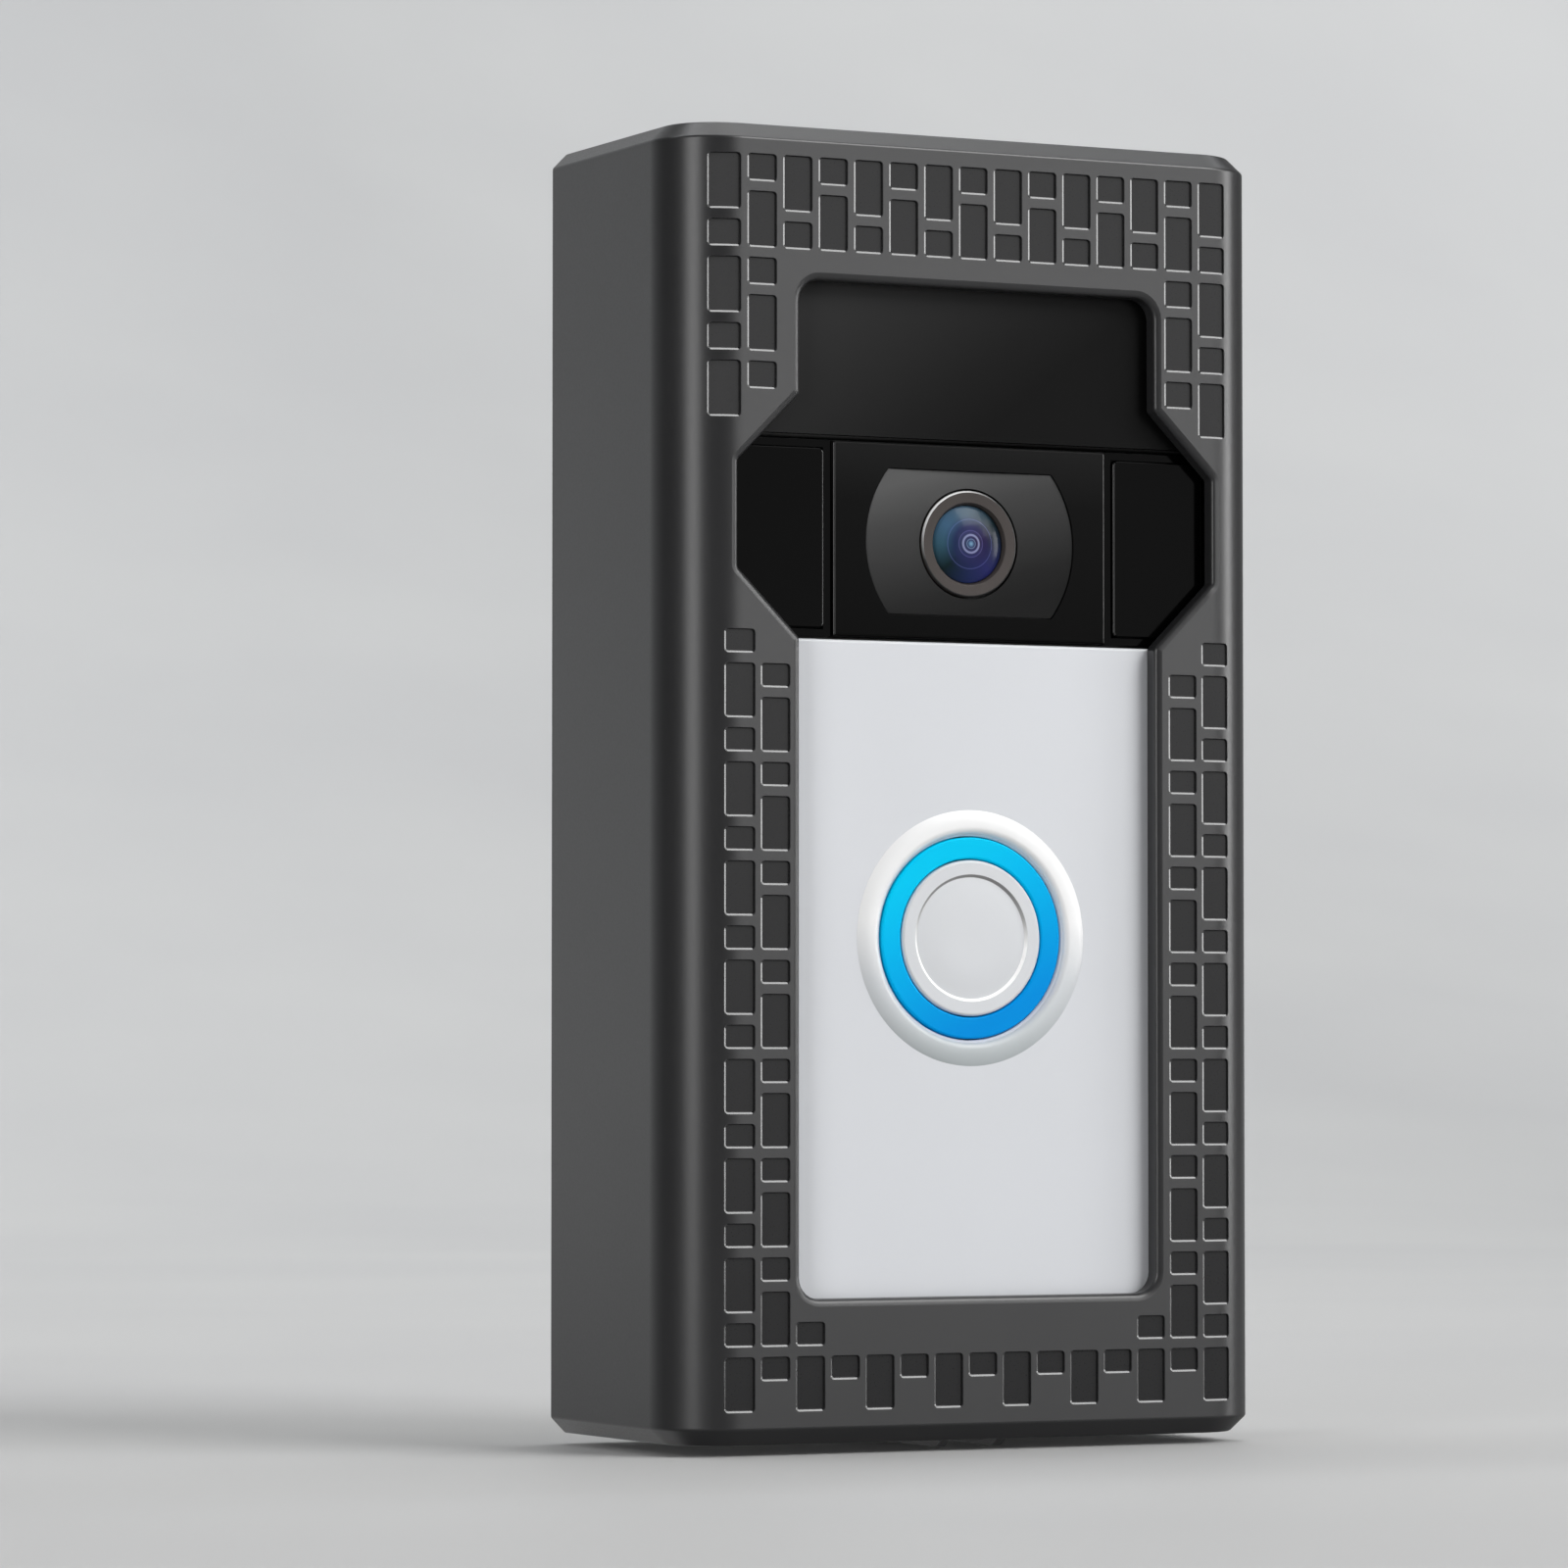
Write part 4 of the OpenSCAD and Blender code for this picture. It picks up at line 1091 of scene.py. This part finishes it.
# Polished black for the upright edges of the plates, lighter than most of them: a painted highlight line.
def upright_edge_painted_highlight():
    return finish("polished black edge with painted highlight", grey(18), 0.22, grain=0.3, bump=0.0005, spread=0.1, specular=0.6)


# Painted sheen: near black at the lower right, lighter grey towards the upper left.
def upper_panel_painted_sheen():
    return graded("upper panel black with painted sheen", ((-0.6, 0, 0.8), 31, 55),
                  [(0, grey(10)), (0.25, grey(20)), (1, grey(44))], 0.42, 0.2, 0.002, 0.06)


# Painted light and shade: near black at the bottom, lighter grey at the top.
def camera_panel_painted_light():
    return graded("camera panel black with painted light", ((0, 0, 1), 16.5, 38.3),
                  [(0, grey(2)), (0.7, grey(8)), (1, grey(24))], 0.36, 0.2, 0.0015, 0.045)


# Painted reflection and shade: dark grey at the bottom, light grey at the top, leaning a little to the left.
def bezel_grey():
    return graded("bezel grey with painted light", ((-0.25, 0, 0.97), 19, 35),
                  [(0, grey(25)), (0.17, grey(32)), (0.33, grey(43)), (0.72, grey(63)), (0.92, grey(79)),
                   (1, grey(86))], 0.4, 0.25, 0.003, 0.06)


def gloss_black():
    return finish("gloss black", grey(2), 0.12, grain=1.5, bump=0.0006, spread=0.25, specular=0.035)


def ring_metal():
    return finish("lens ring metal", linear(64, 59, 57), 0.4, grain=0.15, bump=0.001, spread=0.06, metal=0.2,
                  specular=0.2)


def ring_edge_painted_highlight():
    """The ring's edge carries a painted highlight: near white at its upper left and dark elsewhere."""
    return graded("lens ring edge with painted highlight", ((-0.6, 0, 0.8), 19, 28),
                  [(0, grey(34)), (0.5, grey(48)), (0.7, grey(120)), (1, grey(225))], 0.3, 0.2, 0.0005, 0.3)


def polar(tree, x, z, radius):
    """Distance from an axis along Y as a share of radius, and the turn round it from 0 to 1."""
    where = tree.nodes.new("ShaderNodeTexCoord").outputs["Object"]
    moved = node_of(tree, "ShaderNodeMapping", Location=(-x * MM, 0, -z * MM), Scale=(1, 0, 1))
    tree.links.new(where, moved.inputs["Vector"])
    size = tree.nodes.new("ShaderNodeVectorMath")
    size.operation = "LENGTH"
    tree.links.new(moved.outputs["Vector"], size.inputs[0])
    parts = tree.nodes.new("ShaderNodeSeparateXYZ")
    tree.links.new(moved.outputs["Vector"], parts.inputs["Vector"])
    turn = worked(tree, "ARCTAN2", parts.outputs["Z"], parts.outputs["X"])
    return (spread_of(tree, size.outputs["Value"], 0, 1, 0, radius * MM),
            spread_of(tree, turn, 0, 1, -math.pi, math.pi))


def coated_glass_painted_reflections():
    """Dark coated lens with painted reflections: tinted by direction outside, violet inside, with thin painted
    rings and a painted highlight in the middle.
    """
    material, tree, shader = blank("coated glass with painted reflections")
    reach, turn = polar(tree, 0, LENS_Z, GLASS_R)
    # Outside, the tint is a painted reflection: lighter blue from the left round to the top, violet below,
    # darkest at the right.
    outer = ramp(tree, turn, [
        (0.0, linear(52, 84, 100)), (0.12, linear(20, 36, 40)), (0.25, linear(30, 40, 78)),
        (0.36, linear(38, 40, 92)), (0.52, linear(28, 38, 54)), (0.6, linear(22, 36, 42)),
        (0.75, linear(58, 80, 96)), (0.9, linear(62, 92, 118)), (1.0, linear(52, 84, 100))])
    inner = ramp(tree, turn, [
        (0.0, linear(32, 44, 78)), (0.3, linear(38, 40, 82)), (0.55, linear(34, 26, 64)),
        (0.75, linear(40, 42, 84)), (1.0, linear(32, 44, 78))])
    zone = ramp(tree, reach, [(0.45, (0, 0, 0, 1)), (0.75, (1, 1, 1, 1))])
    base = mixed(tree, zone, inner, outer)
    black, lilac = (0, 0, 0, 1), linear(118, 122, 148)
    # Thin painted rings of reflected light, and a painted highlight in the middle.
    rings = ramp(tree, reach, [
        (0.0, linear(110, 150, 168)), (0.07, linear(44, 78, 96)), (0.1, black), (0.125, linear(90, 110, 130)),
        (0.14, black), (0.19, black), (0.215, lilac), (0.245, lilac), (0.265, black), (0.335, linear(20, 18, 40)),
        (0.345, linear(70, 66, 108)), (0.36, black), (0.625, black), (0.64, linear(64, 70, 112)),
        (0.655, black), (1.0, black)])
    tree.links.new(added(tree, base, rings), shader.inputs["Base Color"])
    shader.inputs["Roughness"].default_value = 0.25
    shader.inputs["Specular IOR Level"].default_value = 0.1
    shader.inputs["Coat Weight"].default_value = 0.06
    shader.inputs["Coat Roughness"].default_value = 0.03
    return material


# ---- finishes of the parts that keep their CAD shape ----

def plate_plastic():
    return finish("plate plastic", linear(40, 40, 42), 0.45, grain=0.3, bump=0.004, spread=0.06)


def pad_foam():
    return finish("pad foam", linear(196, 196, 190), 0.95, grain=0.35, bump=0.05, spread=0.06, specular=0.2)


def case_plastic():
    return finish("case plastic", grey(24), 0.5, grain=0.25, bump=0.006, spread=0.08)


def seal_rubber():
    return finish("seal rubber", grey(44), 0.85, grain=0.4, bump=0.01, spread=0.1, specular=0.3)


def screw_steel():
    return finish("screw steel", linear(176, 177, 180), 0.28, grain=0.12, bump=0.002, spread=0.08, metal=1.0,
                  stretch=(1, 1, 6))


def barrel_black():
    return finish("barrel black", linear(22, 22, 23), 0.4, grain=0.2, bump=0.003, spread=0.1, metal=0.6)


def board_green():
    return finish("board green", linear(16, 84, 50), 0.3, grain=0.8, bump=0.01, spread=0.18, patch=3.0, coat=0.4)


def chip_black():
    return finish("chip black", linear(38, 38, 40), 0.6, grain=0.15, bump=0.004, spread=0.1)


def shield_steel():
    return finish("shield steel", linear(186, 188, 192), 0.35, grain=0.3, bump=0.003, spread=0.06, metal=1.0)


def lamp_clear():
    return finish("lamp clear", linear(214, 214, 222), 0.15, grain=0.4, bump=0.002, spread=0.05, coat=0.5)


def antenna_brass():
    return finish("brass", linear(206, 172, 96), 0.3, grain=0.2, bump=0.002, spread=0.08, metal=1.0)


def plunger_red():
    return finish("plunger red", linear(170, 30, 24), 0.35, grain=0.3, bump=0.003, spread=0.08)


def connector_ivory():
    return finish("connector ivory", linear(224, 220, 206), 0.4, grain=0.3, bump=0.004, spread=0.05)


def battery_wrap():
    return finish("battery wrap", linear(38, 78, 140), 0.25, grain=1.2, bump=0.02, spread=0.1, coat=0.3)


def speaker_metal():
    return finish("speaker metal", linear(58, 58, 61), 0.4, grain=0.2, bump=0.004, spread=0.1, metal=0.7)


def setup_orange():
    return finish("setup orange", linear(230, 112, 34), 0.35, grain=0.25, bump=0.003, spread=0.06)


FINISHES = {
    "plate_plastic": plate_plastic, "pad_foam": pad_foam, "case_plastic": case_plastic,
    "seal_rubber": seal_rubber, "screw_steel": screw_steel, "head_gloss": gloss_black,
    "lens_coated": coated_glass_painted_reflections, "barrel_black": barrel_black, "board_green": board_green,
    "chip_black": chip_black, "shield_steel": shield_steel, "lamp_clear": lamp_clear,
    "antenna_brass": antenna_brass, "plunger_red": plunger_red, "connector_ivory": connector_ivory,
    "battery_wrap": battery_wrap, "speaker_metal": speaker_metal, "setup_orange": setup_orange,
}
SHAPED = {"mount_plate": 0.3, "doorbell_bracket": 0.3, "security_screw": 0.15, "bracket_screws": 0.12,
          "rear_case": 0.35, "setup_button": 0.2, "adhesive_pads": 0.12}


def finish_cad_nodes():
    """Every CAD node that still shows gets its slot's finish, and the outer ones get round edges."""
    made, slots = {}, {s["node"]: s["material_slot"] for s in frame["record"]["subparts"]}
    bodies = {n: body for body, nodes in frame["record"]["behaviour"]["bodies"].items() for n in nodes}
    for name, piece in frame["nodes"].items():
        if piece.hide_render:
            continue
        slot = slots[name]
        made.setdefault(slot, FINISHES[slot]())
        if name in SHAPED:
            bevelled(name, bodies[name], slot, SHAPED[name], made[slot])
            continue
        piece.data.materials.clear()
        piece.data.materials.append(made[slot])


# ---- studio ----

PALE = (0.86, 0.865, 0.87, 1)


def camera():
    data = bpy.data.cameras.new("camera")
    data.lens = 154.94
    data.sensor_width = 36
    data.clip_start, data.clip_end = 0.01, 50
    made = bpy.data.objects.new("camera", data)
    bpy.context.scene.collection.objects.link(made)
    made.location = (-0.3549, -0.7007, -0.0305)
    made.rotation_euler = (math.radians(92.33), 0, math.radians(-26.37))
    bpy.context.scene.camera = made


def panel_light(name, spot, width, height, power, aim=(0, 0, 0), colour=(1, 1, 1)):
    data = bpy.data.lights.new(name, "AREA")
    data.shape = "RECTANGLE"
    data.size, data.size_y = width, height
    data.energy = power
    data.color = colour
    made = bpy.data.objects.new(name, data)
    bpy.context.scene.collection.objects.link(made)
    made.location = spot
    made.rotation_euler = (Vector(aim) - Vector(spot)).to_track_quat("-Z", "Y").to_euler()
    made.visible_camera = False


def blend_shaders(tree, share, first, second, output):
    mix = tree.nodes.new("ShaderNodeMixShader")
    tree.links.new(share, mix.inputs["Fac"])
    tree.links.new(first, mix.inputs[1])
    tree.links.new(second, mix.inputs[2])
    tree.links.new(mix.outputs["Shader"], output.inputs["Surface"])


def surroundings():
    """Pale to the camera, and a weak even light on the object."""
    world = bpy.data.worlds.new("studio")
    world.use_nodes = True
    tree = world.node_tree
    even = tree.nodes["Background"]
    even.inputs["Color"].default_value = (1, 1, 1, 1)
    even.inputs["Strength"].default_value = 0.1
    seen = node_of(tree, "ShaderNodeBackground", Color=PALE, Strength=1.0)
    path = tree.nodes.new("ShaderNodeLightPath").outputs
    blend_shaders(tree, path["Is Camera Ray"], even.outputs["Background"], seen.outputs["Background"],
                  tree.nodes["World Output"])
    bpy.context.scene.world = world


def studio():
    """Soft lights by name: place, size and watts. All but the backdrop's point at the object."""
    bpy.context.scene.view_settings.view_transform = "Standard"
    surroundings()
    panel_light("key", (0.53, -0.74, 0.78), 0.6, 0.6, 9.0)
    panel_light("right", (1.04, -0.37, 0.04), 0.25, 0.6, 3.8)
    panel_light("front", (0.58, -1.17, 0.05), 0.8, 0.8, 4.3)
    panel_light("corner", (0.835, -0.585, 0.41), 0.3, 0.3, 1.6)
    panel_light("left", (-1.03, -0.62, 0.1), 0.42, 1.2, 7.2)
    panel_light("overhead", (0.2, 0.1, 1.1), 0.8, 0.6, 2.8)
    panel_light("under", (-0.1, 1.1, -0.55), 0.8, 0.8, 20)
    panel_light("backdrop", (0, 0.6, 1.7), 3.2, 1.0, 48, (0, 2.4, 0.5), (0.96, 0.98, 1))


def far_out(tree, start, end, most):
    """0 near the object and most far to its left, right or front, in metres."""
    left, right, ahead = (reach_of(tree, way) for way in ((-1, 0, 0), (1, 0, 0), (0, -1, 0)))
    furthest = worked(tree, "MAXIMUM", worked(tree, "MAXIMUM", left, right), ahead)
    return spread_of(tree, furthest, 0, most, start, end)


def floor_finish():
    """Pale from above and even far out, dim to what mirrors it nearby, clear from below and to shadows."""
    material, tree, shader = blank("floor")
    shader.inputs["Roughness"].default_value = 0.6
    path = tree.nodes.new("ShaderNodeLightPath").outputs
    shade = ramp(tree, noise(tree, 160, 2.0), [(0.3, (0.5, 0.5, 0.5, 1)), (0.7, (0.53, 0.53, 0.525, 1))])
    dim = ramp(tree, along(tree, (0, 1, 0), 300, 900), [(0, (0.2, 0.2, 0.2, 1)), (1, (0.53, 0.53, 0.53, 1))])
    tree.links.new(mixed(tree, path["Is Camera Ray"], dim, shade), shader.inputs["Base Color"])
    shader.inputs["Emission Color"].default_value = PALE
    glow = worked(tree, "MULTIPLY", far_out(tree, 0.7, 2.6, 0.72), path["Is Camera Ray"])
    tree.links.new(glow, shader.inputs["Emission Strength"])
    below = tree.nodes.new("ShaderNodeNewGeometry").outputs["Backfacing"]
    clear = tree.nodes.new("ShaderNodeBsdfTransparent")
    share = worked(tree, "MAXIMUM", below, path["Is Shadow Ray"])
    blend_shaders(tree, share, shader.outputs["BSDF"], clear.outputs["BSDF"], tree.nodes["Material Output"])
    return material


def floor():
    """Pale floor just under the object that turns up into a backdrop far behind it."""
    low = CAD_LOW.z / MM - 0.4
    half, back, rise, bend = 5000, 700, 7000, 1800
    shell = Shell()
    line = [(Vector((-half, low)), Vector((0, 1)))]
    for k in range(17):
        angle = math.radians(90) * k / 16
        n = Vector((-math.sin(angle), math.cos(angle)))
        line.append((Vector((back, low + bend)) - n * bend, n))
    line.append((Vector((back + bend, low + rise)), Vector((-1, 0))))
    rows = [shell.loop(((x, p.x, p.y), (0, n.x, n.y)) for p, n in line) for x in (-half, half)]
    shell.strip(rows[0], rows[1], False)
    piece = shell.build("floor", floor_finish())


camera()
studio()
floor()
cover()
faceplate()
light_ring()
button_cap()
camera_panel()
upper_panel()
window_plate("ir_window_left")
window_plate("ir_window_right")
lens_bezel()
lens_ring()
lens_glass()
finish_cad_nodes()
